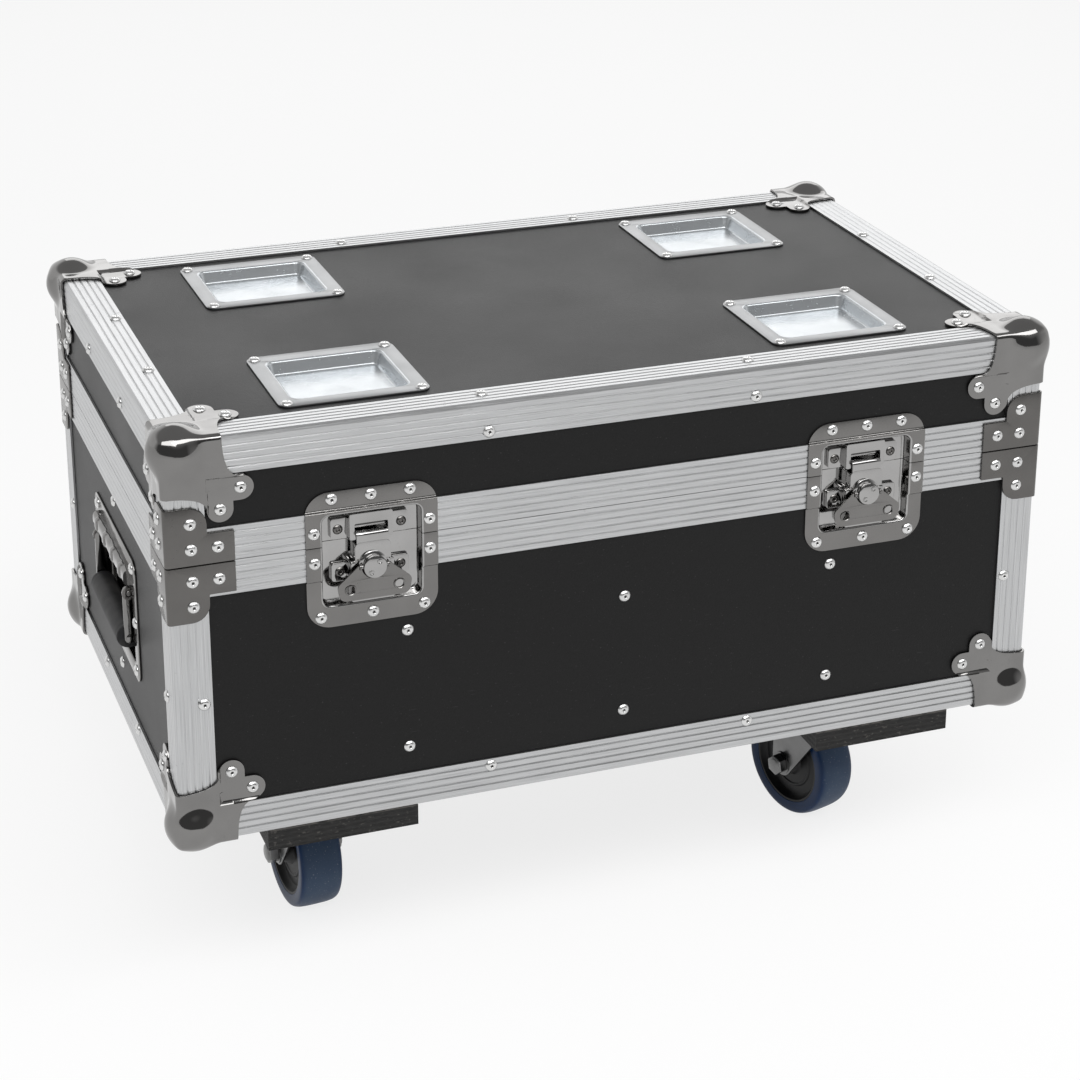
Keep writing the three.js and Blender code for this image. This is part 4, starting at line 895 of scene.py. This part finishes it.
# Drum: a grooved button turned round Z, the pin that crosses it, and two studs on its face
def drumForm():
    q = latchParts
    radius, groove, face = q["drumRadius"], q["drumRadius"] - q["drumGroove"], q["drumFace"]
    profile = [(0, q["clawBack"]), (11, q["clawBack"]), (11, 2.2), (10.6, 2.6), (groove, 3.2), (groove, 4.6),
               (radius - 0.1, 5.3), (radius, 5.8), (radius, 7.9), (radius - 0.35, 8.6), (radius - 1.1, face),
               (0, face)]
    stud = lathe([(0, 9.02), (1.1, 9.05), (1.5, 9.35), (1.8, 9.48), (2.1, 9.4), (2.35, 8.8), (0, 8.8)], 20)
    return joined(lathe(profile, 48), alongX(rod(1.4, q["pinHalf"], 16, 0.2), 0, q["pivotProud"]),
                  *[placed(stud, move(x, y, 0)) for x, y in q["studs"]])


# Wing: a kite-shaped sheet with a round notch for the drum, two rimmed holes and a knuckle on each side
def wingForm():
    q = latchParts
    back = q["pivotProud"] - 0.75
    points = [(-12.5, 1.2), (-29.5, -13.5), (-27.5, -26.5), (27.5, -26.5), (29.5, -13.5), (12.5, 1.2)]
    notch = np.linspace(math.radians(14), math.radians(-194), 25)
    edge = q["notchRadius"] * np.column_stack([np.cos(notch), np.sin(notch)])
    outline = np.concatenate([roundedPolygon(points, [1.5, 5, 6, 6, 5, 1.5]), edge])
    x, y = q["wingHoles"]
    hole = q["wingHole"]
    holes = [circle(hole, (side * x, y), 20) for side in (-1, 1)]
    rim = lathe([(hole, 0), (hole, 1.9), (3.9, 2.3), (4.4, 2.1), (4.7, 1.4), (4.7, 0)], 24, bore=True)
    knuckle = lathe([(1.75, -0.65), (2.3, -0.65), (2.3, 0.65), (1.75, 0.65)], 20, bore=True)
    rims = [placed(rim, move(side * x, y, back)) for side in (-1, 1)]
    knuckles = [alongX(knuckle, 0, q["pivotProud"], x=side * q["knuckleAlong"]) for side in (-1, 1)]
    return joined(plate(outline, back, back + q["wingMetal"], holes), *rims, *knuckles)


bandSteps = [edge + step for edge in (-latch["bandEdge"], latch["bandEdge"])
             for step in np.linspace(-latch["bandSlope"], latch["bandSlope"], 6)]
flangeSplits = [((0, y, 0), (0, 1, 0)) for y in bandSteps]
flangeShape, *tub = pressing(latch, flangeLevel, sideSteps=30)
tubShape = ringStack(*tub)
latchHalves = (  # body, side of the joint that is kept, piece name, node name, form inside
    ("lid", 1, "latchKeeper", "latch_keeper", keeperForm()),
    ("base", -1, "latchDish", "latch_dish", latchBodyForm()),
)
screwPlaces = {"base": [], "lid": []}
for side, sign in (("left", -1), ("right", 1)):
    wall = onWall(0, sign * (case["halfLength"] - latch["fromEnd"]), case["joint"])
    for body, kept, label, node, inner in latchHalves:
        trims = [((0, kept * latch["jointHalf"], 0), (0, -kept, 0))]
        makePiece(f"{label}Flange_{side}", flangeShape, body, flangeShadedNickel, wall, replaces=f"{node}_{side}",
                  trims=trims, splits=flangeSplits, bevel=0.35, bevelAngle=60, warp=stepped)
        makePiece(f"{label}Recess_{side}", tubShape, body, paintedLitNickel, wall, inside=(0, 0, -500),
                  trims=trims, thickness=latch["skin"])
        makePiece(f"{label}Body_{side}", inner, body, paintedLitNickel, wall, bevel=0.35)
        for x, y in latch["screws"][body]:
            screwPlaces[body].append(wall @ move(x, y, latchParts["padProud"] - latch["depth"] - 0.1))
    for x, y in latch["rivets"]:
        rivetOn("lid" if y > 0 else "base", wall, float(flangeLevel(y)), x, y)
    axis = wall @ move(0, -latch["drumDrop"], 0)
    claw, drum, wing = (f"latch_{part}_{side}" for part in ("claw", "drum", "wing"))
    makePiece(f"latchClaw_{side}", clawForm(), claw, paintedLitNickel, wall, replaces=claw, bevel=0.3)
    makePiece(f"latchDrum_{side}", drumForm(), drum, paintedLitNickel, axis, replaces=drum)
    makePiece(f"latchWing_{side}", wingForm(), wing, flangeShadedNickel, axis, replaces=wing, bevel=0.3)
print("latches made")

# Sprung handle: dish with a ribbed spring cover, bail and rubber grip
handle = {
    "belowJoint": 109.5, "halfWidth": 82.75, "above": 53.5, "below": 53.5, "corner": 11, "recessHalf": 67,
    "recessAbove": 27, "recessBelow": 41, "recessCorner": 6, "depth": 9.6, "metal": 1.2, "skin": 0.9,
    "level": -0.5, "rim": 1.4, "foot": 1.8, "wallIn": 0.3, "coverHalf": 64, "coverBottom": 28,
    "coverTop": 41, "coverProud": 5.5, "ribs": 4, "ribSwell": 1.2, "ribHalf": 4.2, "ribSlope": 1.8,
    "pivotUp": 20, "pivotProud": 1.2, "pinRadius": 2.5, "earRadius": 5.5, "earBore": 2.9, "earMetal": 3.5,
    "bailSide": 56.5, "bailMetal": 3, "bailHalf": 4.5, "bailDrop": 41, "gripProud": 1.5, "gripRadius": 10.5,
    "gripHalf": 56, "rodRadius": 4,
    "rivets": ((-70.7, 45), (70.7, 45), (-76.5, 0), (76.5, 0), (-70.7, -45), (70.7, -45)),
}


# The cover's section goes round as y = half cos^0.75 a and z = proud sin^0.55 a, and swells where an eased
# wave along X makes its ribs
def coverForm():
    q = handle
    x = np.linspace(-q["coverHalf"], q["coverHalf"], 129)
    pitch = 2 * q["coverHalf"] / q["ribs"]
    phase = np.abs((x + q["coverHalf"]) / pitch % 1 - 0.5) * pitch
    swell = q["ribSwell"] * eased((q["ribHalf"] - phase) / q["ribSlope"])
    angle = np.linspace(math.pi, 0, 15)
    bulge = np.abs(np.sin(angle)) ** 0.55
    halfTall, middle = (q["coverTop"] - q["coverBottom"]) / 2, (q["coverTop"] + q["coverBottom"]) / 2
    y = middle + np.sign(np.cos(angle)) * np.abs(np.cos(angle)) ** 0.75 * halfTall
    low = q["level"] - 0.5
    z = low + 1 + (q["coverProud"] - low - 1) * bulge
    grid = np.empty((len(x), len(angle) + 2, 3))
    grid[..., 0] = x[:, None]
    grid[..., 1] = np.concatenate([y[:1], y, y[-1:]])
    grid[..., 2] = np.concatenate([[low], z, [low]]) + swell[:, None] * np.concatenate([[0], bulge, [0]])
    return gridForm(grid, capStart=True, capEnd=True)


# Ears: two sheets with a round head over each pivot, bored for its pin
def earForms():
    q = handle
    up, proud, radius = q["pivotUp"], q["pivotProud"], q["earRadius"]
    angle = np.linspace(0, math.pi, 17)
    arc = np.column_stack([up + radius * np.cos(angle), proud + radius * np.sin(angle)])
    outline = np.concatenate([arc, [(up - radius, -q["depth"]), (up + radius, -q["depth"])]])
    ear = plate(outline, 0, q["earMetal"], [circle(q["earBore"], (up, proud), 20)])
    return sheetPair(ear, q["bailSide"] + q["bailMetal"] + case["gap"], q["earMetal"])


# Bail: two flat bars with round ends, pivot pins, and a rod between them with peened ends
def bailForm():
    q = handle
    up, proud, gripY, gripZ = q["pivotUp"], q["pivotProud"], q["pivotUp"] - q["bailDrop"], q["gripProud"]
    turn = np.linspace(0, math.pi, 15)
    outline = np.concatenate([
        np.column_stack([y + sign * q["bailHalf"] * np.sin(turn), z - sign * q["bailHalf"] * np.cos(turn)])
        for y, z, sign in ((up, proud, 1), (gripY, gripZ, -1))])
    parts = sheetPair(plate(outline, 0, q["bailMetal"]), q["bailSide"], q["bailMetal"])
    start, tip, radius = q["bailSide"] + 1, q["bailSide"] + q["bailMetal"], q["pinRadius"]
    end = tip + 3.6
    pin = lathe([(0, start), (radius, start), (radius, end - 0.4), (radius - 0.4, end), (0, end)], 20)
    dome = lathe([(3.4, tip - 0.5), (3.2, tip + 0.5), (2.2, tip + 1.1), (0, tip + 1.3)], 20)
    parts += [alongX(pin, up, proud, sign) for sign in (-1, 1)]
    parts.append(alongX(rod(q["rodRadius"], q["bailSide"] + 1.5, 24), gripY, gripZ))
    parts += [alongX(dome, gripY, gripZ, sign) for sign in (-1, 1)]
    return joined(*parts)


# Rubber tube: its skin sinks slightly between faint mould rings towards both ends
def gripForm():
    q = handle
    s = np.linspace(-1, 1, 61)
    radius, half = q["gripRadius"], q["gripHalf"]
    skin = radius - 0.25 * np.exp(-((np.abs(s) - 0.93) / 0.02) ** 2) - 0.15 * s * s
    end = [(q["rodRadius"] + 0.3, -half), (radius - 1.6, -half), (radius - 0.5, 0.5 - half)]
    profile = end + [(r, z * (half - 1.3)) for r, z in zip(skin, s)] + [(r, -z) for r, z in end[::-1]]
    return alongX(lathe(profile, 40, bore=True), q["pivotUp"] - q["bailDrop"], q["gripProud"])


dishFlange, *dishRings = pressing(handle)
dishRecess = ringStack(*dishRings)
for side, turn in (("left", -90), ("right", 90)):
    wall = onWall(turn, 0, case["joint"] - handle["belowJoint"])
    swing = f"handle_{side}"
    makePiece(f"handleFlange_{side}", dishFlange, "base", flangeShadedNickel, wall, replaces=f"handle_dish_{side}",
              bevel=0.3, bevelAngle=60)
    makePiece(f"handleRecess_{side}", dishRecess, "base", nickel, wall, inside=(0, 0, -500),
              thickness=handle["skin"])
    makePiece(f"handleCover_{side}", coverForm(), "base", ballShadedNickel, wall)
    makePiece(f"handleEars_{side}", joined(*earForms()), "base", nickel, wall, bevel=0.3)
    makePiece(f"handleBail_{side}", bailForm(), swing, ballShadedNickel, wall, replaces=f"handle_bail_{side}",
              bevel=0.4)
    makePiece(f"handleGrip_{side}", gripForm(), swing, blackRubber, wall, replaces=f"handle_grip_{side}")
    for x, y in handle["rivets"]:
        rivetOn("base", wall, handle["level"], x, y)
print("handles made")

# Castor cup: a square flange round a tapered pocket
cup = {
    "fromEnd": 160.5, "fromFront": 100, "halfWidth": 60, "above": 57, "below": 57, "corner": 9,
    "recessHalf": 46, "recessAbove": 42, "recessBelow": 42, "recessCorner": 7, "depth": 11.5, "wallIn": 2.5,
    "lean": 12, "metal": 1.2, "skin": 0.9, "level": -0.5, "rim": 2.2, "foot": 2.0, "swell": 1.3,
    "rivetInset": 6.5,
}


# The pocket's last ring shrinks towards its middle, and the floor rises there by swell (1 - share)^1.2
def cupForms():
    q = cup
    flange, rings, levels = pressing(q, lean=math.radians(q["lean"]), least=1.5, arcs=(7, 6))
    floor = rings[-1]
    for share in np.linspace(0.9, 0.05, 10):
        rings.append(floor * share)
        levels.append(-q["depth"] + q["swell"] * (1 - share) ** 1.2)
    return flange, ringStack(rings, levels)


# The place near one corner of the case that lies this far from its end and its front or back
def inCorner(q, signs, level):
    x, y = case["halfLength"] - q["fromEnd"], case["halfDepth"] - q["fromFront"]
    return move(signs[0] * x, signs[1] * y, level)


cupFlange, cupPocket = cupForms()
for name, signs in cornerSigns.items():
    place = inCorner(cup, signs, case["top"])
    makePiece(f"cupFlange_{name}", cupFlange, "lid", satinShadedZinc, place, replaces=f"castor_cup_{name}",
              bevel=0.3, bevelAngle=60)
    makePiece(f"cupPocket_{name}", cupPocket, "lid", zinc, place, inside=(0, 0, -500), thickness=cup["skin"])
    for x in (-1, 1):
        for y in (-1, 1):
            spot = x * (cup["halfWidth"] - cup["rivetInset"]), y * (cup["above"] - cup["rivetInset"])
            rivetPlaces["lid"].append(place @ move(*spot, cup["level"]))
print("castor cups made")

# Rivets of the edge angles, and the screws that hold the dividers
edging = {
    "alongFront": 111, "shift": -2.3, "alongSide": 65, "inset": 24, "postInset": 23.4, "topInset": 19,
    "postLevel": 264.5, "screwX": (-180, 0, 180), "screwLevels": (299.5, 198.6),
    "sideScrewLevels": (346, 200),
}


# One wall: rivets of its two angles, of its two posts, and its panel screws
def wallRivets(turn, alongs, postReach, screws):
    for along in alongs:
        rivetOn("lid", onWall(turn, along, case["top"] - edging["inset"]))
        rivetOn("base", onWall(turn, along, case["underside"] + edging["inset"]))
    for sign in (-1, 1):
        rivetOn("base", onWall(turn, sign * (postReach - edging["postInset"]), edging["postLevel"]))
    for x, level in screws:
        rivetOn("base", onWall(turn, x, level), -case["panelInset"])


frontAlongs = (-edging["alongFront"] + edging["shift"], edging["alongFront"] + edging["shift"])
frontScrews = [(x, z) for x in edging["screwX"] for z in edging["screwLevels"]]
for turn in (0, 180):
    wallRivets(turn, frontAlongs, case["halfLength"], frontScrews)
for turn in (-90, 90):
    wallRivets(turn, (-edging["alongSide"], edging["alongSide"]), case["halfDepth"],
               [(0, z) for z in edging["sideScrewLevels"]])
for signX in (-1, 1):
    for signY in (-1, 1):
        along = signX * edging["alongFront"] + (edging["shift"] if signY < 0 else 0)
        edge = signX * (case["halfLength"] - edging["postInset"])
        rivetPlaces["lid"].append(move(along, signY * (case["halfDepth"] - edging["topInset"]), case["top"]))
        rivetPlaces["lid"].append(move(edge, signY * edging["alongSide"], case["top"]))
radius, height, dimple = rivet["blind"]
oneRivet, screwShape = rivetForm(*rivet["blind"]), rivetForm(*rivet["padScrew"])
oneMandrel = lathe(np.array(rivet["mandrelShape"]) * (dimple, height), 12)
for body in ("base", "lid"):
    places = rivetPlaces[body]
    makePiece(f"rivets_{body}", repeated(oneRivet, places), body, rivetMetal, smooth=50)
    makePiece(f"rivetMandrels_{body}", repeated(oneMandrel, places), body, mandrelSteel, smooth=50)
    makePiece(f"padScrews_{body}", repeated(screwShape, screwPlaces[body]), body, nickel, smooth=50)
print("rivets made", len(rivetPlaces["base"]), len(rivetPlaces["lid"]))

# Hinges at the back
hinge = {
    "fromEnd": 160, "width": 100, "leaf": 26, "metal": 1.5, "knuckles": 5, "knuckleRadius": 4.2,
    "edge": 0.3, "pinProud": 4.5, "pinRadius": 2, "pinHalf": 49.6, "space": 0.4, "holeUp": 17,
    "holes": (-38, -13, 13, 38), "holeRadius": 2.4,
}


# One leaf: a plate notched where the other leaf's knuckles turn, and its own knuckles round the pin
def hingeForm(up, first):
    q = hinge
    half, pitch, space, edge = q["width"] / 2, q["width"] / q["knuckles"], q["space"], q["edge"]
    depth, bore, radius = q["knuckleRadius"] + 0.5, q["pinRadius"] + 0.3, q["knuckleRadius"]
    near, barrels = [(-half, up * depth)], []
    for i in range(first, q["knuckles"], 2):
        start, end = i * pitch - half, (i + 1) * pitch - half
        notch = [(start + space, depth), (start + space, 0.3), (end - space, 0.3), (end - space, depth)]
        near += [(x, up * y) for x, y in notch]
        start, end = start + space / 2, end - space / 2
        barrel = lathe([(bore, start), (radius - edge, start), (radius, start + edge),
                        (radius, end - edge), (radius - edge, end), (bore, end)], 28, bore=True)
        barrels.append(alongX(barrel, 0, q["pinProud"]))
    outline = np.array(near + [(half, up * depth), (half, up * q["leaf"]), (-half, up * q["leaf"])], float)
    holes = [circle(q["holeRadius"], (x, up * q["holeUp"]), 16) for x in q["holes"]]
    return [plate(outline, case["gap"], case["gap"] + q["metal"], holes)] + barrels


pin = alongX(rod(hinge["pinRadius"], hinge["pinHalf"], 20, 0.4), 0, hinge["pinProud"])
hingeRivet = rivetForm(*rivet["hinge"])
for side, sign in (("left", 1), ("right", -1)):
    wall = onWall(180, sign * (case["halfLength"] - hinge["fromEnd"]), case["joint"])
    makePiece(f"hingeBaseLeaf_{side}", joined(*hingeForm(-1, 0), pin), "base", zinc, wall,
              replaces=f"hinge_base_leaf_{side}", bevel=0.25, bevelAngle=60)
    makePiece(f"hingeLidLeaf_{side}", joined(*hingeForm(1, 1)), "lid", zinc, wall,
              replaces=f"hinge_lid_leaf_{side}", bevel=0.25, bevelAngle=60)
    head = hinge["metal"] + case["gap"] - 0.1
    for body, up in (("base", -1), ("lid", 1)):
        heads = [wall @ move(x, up * hinge["holeUp"], head) for x in hinge["holes"]]
        makePiece(f"hingeRivets_{body}_{side}", repeated(hingeRivet, heads), body, rivetMetal, smooth=50)
print("hinges made")

# Castors: plate with a ball race, swivelling fork, wheel with a blue tyre on a black core
castor = {
    "fromEnd": 131.4, "fromFront": 93,
    "angles": {"front_left": 4.6, "front_right": 16.6, "rear_left": -38, "rear_right": 62},
    "top": 128, "plateX": 52, "plateY": 42, "plateMetal": 3,
    "bolts": [(x, y) for x in (-40, 40) for y in (-30, 30)], "raceBore": 9.8, "trail": 38,
    "wheelRadius": 50, "halfTread": 18, "legInner": 20.5, "legMetal": 2.5, "eye": 12, "axleRadius": 5,
}


# Plate, bored for its bolts and the race, with the race turned round Z under it; then the bolts
def castorPlateForms():
    q = castor
    top = q["top"] - case["gap"]
    under = top - q["plateMetal"]
    holes = [circle(4.4, bolt, 20) for bolt in q["bolts"]] + [circle(q["raceBore"], (0, 0), 24)]
    sheet = plate(roundedRect(q["plateX"], q["plateY"], 7, (0, 0), 8), under, top, holes)
    race = lathe([(6.7, top - 8), (24, top - 8), (26.2, top - 7.2), (27, top - 6), (27, top - 3.6),
                  (28.5, top - 2.8), (28.5, top - 2), (q["raceBore"], top - 2), (6.7, top - 4)],
                 40, bore=True)
    head = lathe([(0, top - 8.2), (5.2, top - 8.2), (6.3, top - 7.6), (6.5, top - 7.0), (6.5, top - 4.0),
                  (7.6, top - 3.8), (7.6, under), (0, under)], 24)
    return joined(sheet, race), joined(*[placed(head, move(x, y, 0)) for x, y in q["bolts"]])


# Direction, seen from the axle, in which a straight edge from this point meets the eye's circle
def eyeTangent(y, z):
    dy, dz = y - castor["trail"], z - castor["wheelRadius"]
    return math.atan2(dz, dy) + math.acos(castor["eye"] / math.hypot(dy, dz))


# Fork: two pressed legs and their bridge, the turned crown, kingpin and axle, and the axle's nuts
def forkForms():
    q = castor
    top, trail, level, eye = q["top"] - case["gap"], q["trail"], q["wheelRadius"], q["eye"]
    dish, shoulder = top - 8.3, top - 16
    front = (-22.0, shoulder)
    angle = np.linspace(eyeTangent(*front), 2 * math.pi, 33)
    arc = np.column_stack([trail + eye * np.cos(angle), level + eye * np.sin(angle)])
    back = trail + eye
    outline = np.concatenate([arc, [(back, shoulder - 2), (back - 3, shoulder + 1.5), (23.0, top - 12.5),
                                    (-18.0, top - 12.5), front]])
    legs = sheetPair(plate(outline, 0, q["legMetal"]), q["legInner"], q["legMetal"])
    bridge = block(-21.5, 21.5, -20, 25, top - 18.9, top - 13.5, 1)
    crown = lathe([(0, top - 18.9), (14, top - 18.6), (21, top - 17), (26, top - 14.6), (29.5, dish - 4.2),
                   (31, dish - 2.4), (31, dish - 0.6), (30.2, dish), (8, dish), (0, dish)], 48)
    kingpin = lathe([(0, dish - 1), (6, dish - 1), (6, top - 1.8), (9, top - 1.8), (9, top - 0.3),
                     (0, top - 0.3)], 24)
    end = q["legInner"] + q["legMetal"]
    axle = rod(q["axleRadius"], end - 1, 24)
    washer = lathe([(10.5, end - 0.2), (10.5, end + 1.0), (8.0, end + 1.1)], 32)
    nut = lathe([(8.6, end + 0.8), (9.2, end + 1.4), (9.2, end + 7.8), (8.7, end + 8.7), (7.0, end + 9.4)],
                6, 0.2)
    cap = lathe([(7.0, end + 8.9), (6.8, end + 9.4), (5.6, end + 10.0), (0, end + 10.3)], 32)
    hub = [alongX(form, trail, level, sign) for sign in (-1, 1) for form in (washer, nut, cap)]
    return joined(crown, kingpin, alongX(axle, trail, level)), joined(*legs, bridge), joined(*hub)


# Tyre: across the tread x = half sin^0.62 a and r = radius - 5.5 + 5.5 cos^0.5 a, then sides down to the
# core's rim
def tyreForm():
    radius, half = castor["wheelRadius"], castor["halfTread"]
    angle = np.linspace(-math.pi / 2, math.pi / 2, 25)
    treadX = half * np.sign(np.sin(angle)) * np.abs(np.sin(angle)) ** 0.62
    treadR = radius - 5.5 + 5.5 * np.abs(np.cos(angle)) ** 0.5
    profile = [(38.4, -half + 0.6), (42, -half + 0.1)] + list(zip(treadR, treadX))
    profile += [(42, half - 0.1), (38.4, half - 0.6), (37.2, half - 2.4), (37.2, -half + 2.4)]
    return lathe(profile, 96, bore=True)


# How far a point of the tyre lies on its tread: 0 on the sides, 1 where it rolls
def onTread(co):
    return np.clip((np.hypot(co[:, 0], co[:, 1]) - 48.2) / 1.2, 0, 1)


# Core: deep dished web with a step ring and a boss for the bearing
def coreForm():
    half = castor["halfTread"]
    side = [(5.3, 20), (9.4, 20), (10.4, 19.3), (12.6, 13.4), (14, 12.2), (22, 11.6), (23, 12.4),
            (24.2, 12.4), (25.2, 11.4), (32.5, 10.8), (34.6, 12.4), (35.6, half - 2.6), (36.4, half - 1.2),
            (38.0, half - 0.9), (38.3, half - 1.5)]
    return lathe(bothEnds(side), 72, bore=True)


castorPlate, castorBolts = castorPlateForms()
forkRound, forkPressed, forkHub = forkForms()
for name, signs in cornerSigns.items():
    spot = inCorner(castor, signs, 0)
    makePiece(f"castorPlate_{name}", castorPlate, "base", zinc, spot, replaces=f"castor_plate_{name}",
              bevel=0.25, bevelAngle=60)
    makePiece(f"castorBolts_{name}", castorBolts, "base", zinc, spot)
    turned = spot @ turnZ(castor["angles"][name])
    fork, wheel = f"castor_fork_{name}", f"castor_wheel_{name}"
    makePiece(f"castorFork_{name}", forkPressed, fork, castorShadedZinc, turned, replaces=fork, bevel=0.6)
    makePiece(f"castorCrown_{name}", forkRound, fork, castorShadedZinc, turned)
    makePiece(f"castorNuts_{name}", forkHub, fork, castorShadedZinc, turned, smooth=25)
    axle = turned @ move(0, castor["trail"], castor["wheelRadius"]) @ turnY(90)
    makePiece(f"castorTyre_{name}", tyreForm(), wheel, blueTyre, axle, replaces=wheel,
              mark=("tread", onTread))
    makePiece(f"castorCore_{name}", coreForm(), wheel, blackPlastic, axle)
print("castors made")

# Stage: a pale floor that keeps the shadow, seen as white away from it
stage = {"reach": 40, "floor": (0.93, 0.93, 0.93), "whiteShare": 0.80}
white = (1, 1, 1, 1)


# Camera rays alone, and those with the reflected and refracted ones, in which the pale background shows
def seenShares(b):
    kinds = ("Is Camera Ray", "Is Glossy Ray", "Is Transmission Ray")
    rays = [b.node("ShaderNodeLightPath", output=kind) for kind in kinds]
    return rays[0], (rays[0] + rays[1] + rays[2]).above(0, 1)


def floorFinish():
    b = Board("floor")
    seen = seenShares(b)[1]
    shade = b.node("ShaderNodeBsdfDiffuse", {}, {"Color": (*stage["floor"], 1)})
    glow = b.node("ShaderNodeEmission", {}, {"Color": white, "Strength": 1.0})
    both = b.node("ShaderNodeMixShader", {}, {0: seen * stage["whiteShare"], 1: shade, 2: glow})
    b.node("ShaderNodeOutputMaterial", {}, {"Surface": both})
    return b.owner


floorMesh = bpy.data.meshes.new("floor")
reach = stage["reach"]
floorCorners = [(-reach, -reach, 0), (reach, -reach, 0), (reach, reach, 0), (-reach, reach, 0)]
floorMesh.from_pydata(floorCorners, [], [(0, 1, 2, 3)])
floorMesh.materials.append(floorFinish())
floor = bpy.data.objects.new("floor", floorMesh)
bpy.context.scene.collection.objects.link(floor)

# Studio: white wherever the camera looks; metal shows that white low behind the case, and the dim room
# overhead and behind the photographer
studio = {
    "ambient": 0.40, "towards": (0.34, 0.94), "behindFrom": (-0.5, 0.2), "overheadFrom": (0.42, 0.62),
    "room": 0.14, "overhead": 0.42,
}


def studioWorld():
    b = Board(bpy.data.worlds.new("studio"))
    x, y, z = b.axes(b.node("ShaderNodeTexCoord", output="Generated"))
    behind = (x * studio["towards"][0] + y * studio["towards"][1]).above(*studio["behindFrom"])
    around = behind * (1 - studio["room"]) + studio["room"]
    level = around + (studio["overhead"] - around) * z.above(*studio["overheadFrom"])
    camera, seen = seenShares(b)
    strength = camera + (1 - camera) * level
    room = b.node("ShaderNodeBackground", {}, {"Color": white, "Strength": studio["ambient"]})
    shown = b.node("ShaderNodeBackground", {}, {"Color": white, "Strength": strength})
    both = b.node("ShaderNodeMixShader", {}, {0: seen, 1: room, 2: shown})
    b.node("ShaderNodeOutputWorld", {}, {"Surface": both})
    return b.owner


bpy.context.scene.world = studioWorld()

# Softboxes: place, size and power of each, all turned to the middle of the case
softboxes = {
    "key": {"place": (-1.2, -2.2, 3.2), "size": (3.0, 2.0), "power": 74},
    "fill": {"place": (0.9, -1.95, 2.9), "size": (3.4, 1.0), "power": 48},
    "back": {"place": (1.2, 3.2, 2.1), "size": (3.4, 1.5), "power": 19},
}
lit = Vector((0, 0, 0.3))
for name, softbox in softboxes.items():
    lamp = bpy.data.lights.new(name, "AREA")
    lamp.shape = "RECTANGLE"
    lamp.size, lamp.size_y = softbox["size"]
    lamp.energy = softbox["power"]
    obj = bpy.data.objects.new(name, lamp)
    obj.location = softbox["place"]
    obj.rotation_euler = (lit - obj.location).to_track_quat("-Z", "Y").to_euler()
    bpy.context.scene.collection.objects.link(obj)

# Camera, solved from the case's own edges in the photograph
lens = {"place": (-0.70583, -1.98198, 1.19827), "azimuth": 20.245, "elevation": -19.677, "roll": 0.198,
        "length": 87.751, "shift": (-0.01891, -0.1895)}
cameraData = bpy.data.cameras.new("camera")
cameraData.sensor_width = 36
cameraData.lens = lens["length"]
cameraData.shift_x, cameraData.shift_y = lens["shift"]
camera = bpy.data.objects.new("camera", cameraData)
camera.location = lens["place"]
azimuth, elevation, roll = (math.radians(lens[key]) for key in ("azimuth", "elevation", "roll"))
level = math.cos(elevation)
forward = Vector((math.sin(azimuth) * level, math.cos(azimuth) * level, math.sin(elevation)))
aim = forward.to_track_quat("-Z", "Y").to_matrix() @ Matrix.Rotation(roll, 3, "Z")
camera.rotation_euler = aim.to_euler()
bpy.context.scene.collection.objects.link(camera)
bpy.context.scene.camera = camera
bpy.context.scene.view_settings.view_transform = "Standard"
print("stage and camera set")
